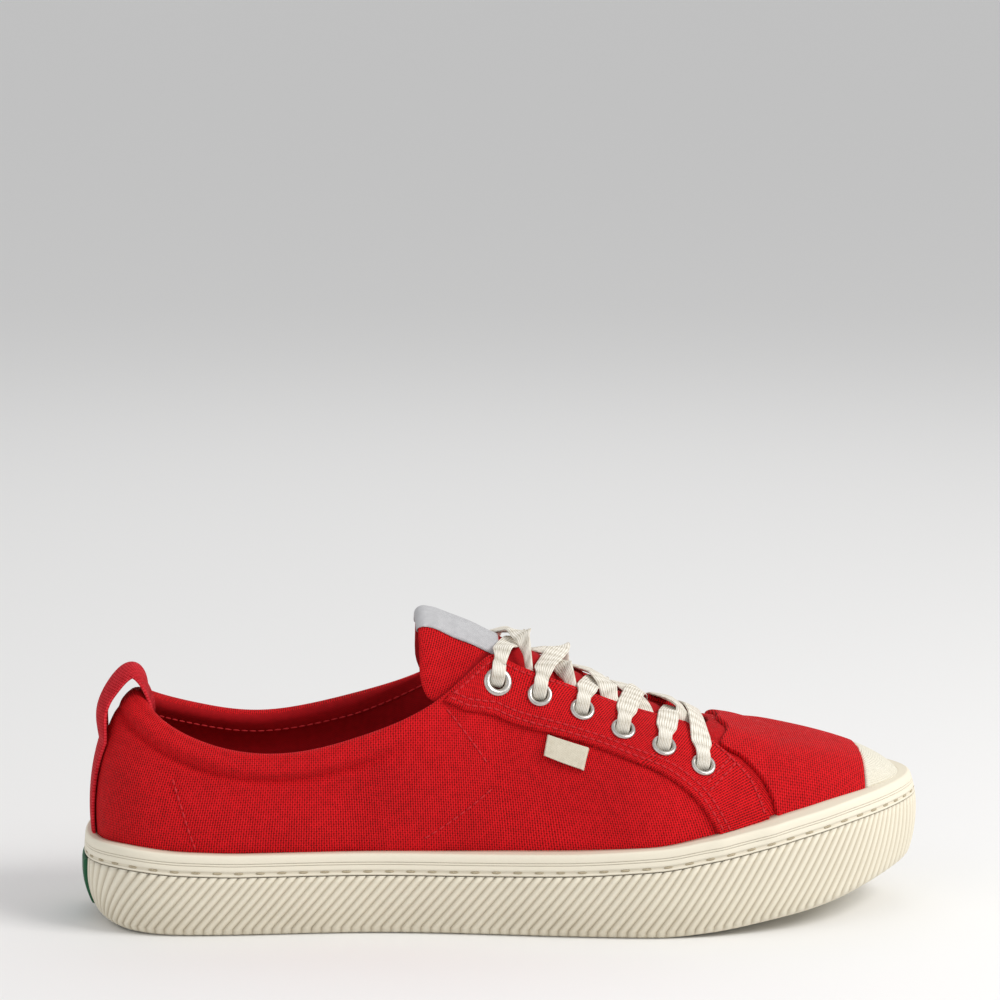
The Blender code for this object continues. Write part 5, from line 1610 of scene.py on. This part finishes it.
def ribbon(name, centres, across, lifts, halves, thicks):
    """Sweep a flat lace's rounded section along a path."""
    across, lifts = aligned(across)[:, None], aligned(lifts)[:, None]
    centres, halves, thicks = (np.concatenate(parts) for parts in (centres, halves, thicks))
    turns = np.linspace(0, 2 * np.pi, 25)
    wide = np.sign(np.cos(turns)) * np.abs(np.cos(turns)) ** 0.55
    high = np.sign(np.sin(turns)) * np.abs(np.sin(turns)) ** 0.8
    points = centres[:, None] + across * (halves[:, None] * wide)[..., None]
    points = points + lifts * (thicks[:, None] / 2 * (1 + high))[..., None]
    girth = runs_of(points, 1)[len(centres) // 2]
    uvs = np.stack(np.broadcast_arrays(girth, runs_of(points, 0)[:, :1]), axis=-1)
    return lay_grid(name, points + MIDDLE, uvs, joined=True)


# %% Lay the five crosses and the bar
def hole_at(place):
    away = skin_normal(*place)
    centre = skin(*place) - MIDDLE + away * (SEAT + OVERLAY)
    return Hole(centre[:2], centre, away)


# each crossing aims this far towards the next eyelet of the other side
HIDDEN_SHARE = 0.98
outer, inner = ([hole_at(place) for place in eyelet_places[side]] for side in (LATERAL, MEDIAL))
facings = [bpy.data.objects[f"eyestay_canvas_{name}"] for _, name in SIDES]
bed = trees_of([upper, vamp, tongue, label] + facings + eyelets)
leaf = trees_of([tongue, label])
roof = trees_of(facings)
for i in reversed(range(5)):
    order = [(outer, inner, "outer"), (inner, outer, "inner")]
    if i % 2:
        order.reverse()
    laid = []
    for near, far, name in order:
        end = near[i].plan + (far[i + 1].plan - near[i].plan) * HIDDEN_SHARE
        under = trees_of(laid)
        laid.append(lace_stretch(f"lace_{i + 1}_{name}", near[i], end, None, leaf + under, bed + under, roof))
    dress(laid[0], cotton, "lace", f"lace_cross_{i + 1}")
    dress(laid[1], cotton, "lace")
    if i == 4:
        lowest = trees_of(laid)
bar = lace_stretch("lace_front_bar", outer[5], inner[5].plan, inner[5], [], bed + lowest, roof)
dress(bar, cotton, "lace", "lace_bar")

# %% [markdown]
# ## Seams
#
# Two rows of red stitches hold each eyestay, a single row draws the arrow on the quarter, one row runs
# down beside the heel tape and one lies under the collar's edge inside.

# %% Sew the seams
LEG_SEAM = [(229.5, 57.1), (224.0, 53.2), (218.5, 49.2)]


def inset_line(first, second, distance):
    """A line of places a distance inside the first of two edge lines."""
    return first + (second - first) * (distance / widths(first, second))[:, None]


top_cloth = SEAT + OVERLAY - 0.1 * MM
for side, side_name in SIDES:
    first, second = facing_lines(side, 261)
    for i, distance in enumerate(SEAM_INSETS):
        line = inset_line(second, first, distance)
        seam_on_skin(f"facing_seam_{side_name}_{i + 1}", line[2:-2], top_cloth, FACING_STITCH)
    line = inset_line(first, second, SEAM_INSETS[0])
    seam_on_skin(f"throat_seam_{side_name}", line[3:-3], top_cloth, FACING_STITCH)
    for name, places in QUARTER_SEAMS.items():
        places = locate_spots(spots_in_mm(places), side)
        seam_on_skin(f"{name}_{side_name}", places, -0.14 * MM, QUARTER_STITCH)
    for i, shift in enumerate((0.0, 2.3)):
        places = locate_spots(spots_in_mm([(x - shift * 0.58, z + shift * 0.81) for x, z in LEG_SEAM]), side)
        seam_on_skin(f"leg_seam_{side_name}_{i + 1}", places, top_cloth + 0.14 * MM, FACING_STITCH)

# the row inside the collar, 5 mm under its edge
shares = np.concatenate([np.linspace(0.60, 1.0, 200), np.linspace(0, 0.36, 200)[1:]])
climb = 1 - (lip_radius(shares) + 5 * MM) / column_length(shares)
depth = WALL + (COLLAR_PAD - WALL) * padding_share(shares) * 0.95 + 0.1 * MM
inside = off_skin(shares, climb, -depth)
sew("collar_seam", inside, -skin_normal(shares, climb), COLLAR_STITCH, red_thread, "lining")


# %% [markdown]
# ## Floor, light and camera
#
# The shoe stands on a plain pale floor, so large that the camera sees no edge of it. One large soft lamp
# stands high in front of the toe, so the light grazes along the side and draws its ribs and folds. A
# weaker one fills the heel, and a little light comes from all round. The camera looks down a little from
# far away, which keeps the shoe's sides nearly parallel. The plain view keeps the reds as deep as they
# are mixed.

# %% The floor
FLOOR_REACH = 30.0
floor_data = bpy.data.meshes.new("pale_floor")
with edited(floor_data) as mesh:
    bmesh.ops.create_grid(mesh, x_segments=1, y_segments=1, size=FLOOR_REACH)
floor = add_piece("pale_floor", floor_data)
plain = Finish("pale floor")
plain.shade(Base_Color=(0.85, 0.85, 0.85, 1), Roughness=0.9, Specular_IOR_Level=0.1)
floor_data.materials.append(plain.material)

# %% Lights
def lamp(name, place, target, size, power, colour=(1, 1, 1)):
    light = bpy.data.lights.new(name, "AREA")
    light.size = size
    light.energy = power
    light.color = colour
    holder = bpy.data.objects.new(name, light)
    holder.location = place
    holder.rotation_euler = (Vector(target) - Vector(place)).to_track_quat("-Z", "Y").to_euler()
    bpy.context.scene.collection.objects.link(holder)


lamp("key", (0.95, -0.55, 0.95), (0.02, 0, 0.04), 0.6, 12.5, (1.0, 0.98, 0.95))
lamp("fill", (-0.9, -0.9, 0.7), (0, 0, 0.04), 1.1, 2.0, (0.97, 0.98, 1.0))
lamp("back", (0.1, 1.0, 1.0), (0, 0, 0.05), 0.9, 1.6)
world = bpy.data.worlds.new("soft room")
world.use_nodes = True
glow = world.node_tree.nodes["Background"]
glow.inputs["Color"].default_value = (1.0, 1.0, 1.0, 1)
glow.inputs["Strength"].default_value = 0.62
bpy.context.scene.world = world
bpy.context.scene.view_settings.view_transform = "Standard"

# %% The camera
LENS = 143.8
LOOKS_DOWN = 9.21
TURNED_RIGHT = 3.665
camera_data = bpy.data.cameras.new("camera")
camera_data.lens = LENS
camera_data.sensor_width = 36.0
camera_data.clip_start = 0.05
camera = bpy.data.objects.new("camera", camera_data)
camera.location = (-0.090, -1.393, 0.374)
camera.rotation_euler = (math.radians(90 - LOOKS_DOWN), 0, math.radians(-TURNED_RIGHT))
bpy.context.scene.collection.objects.link(camera)
bpy.context.scene.camera = camera
print("camera", [round(value, 3) for value in camera.location])
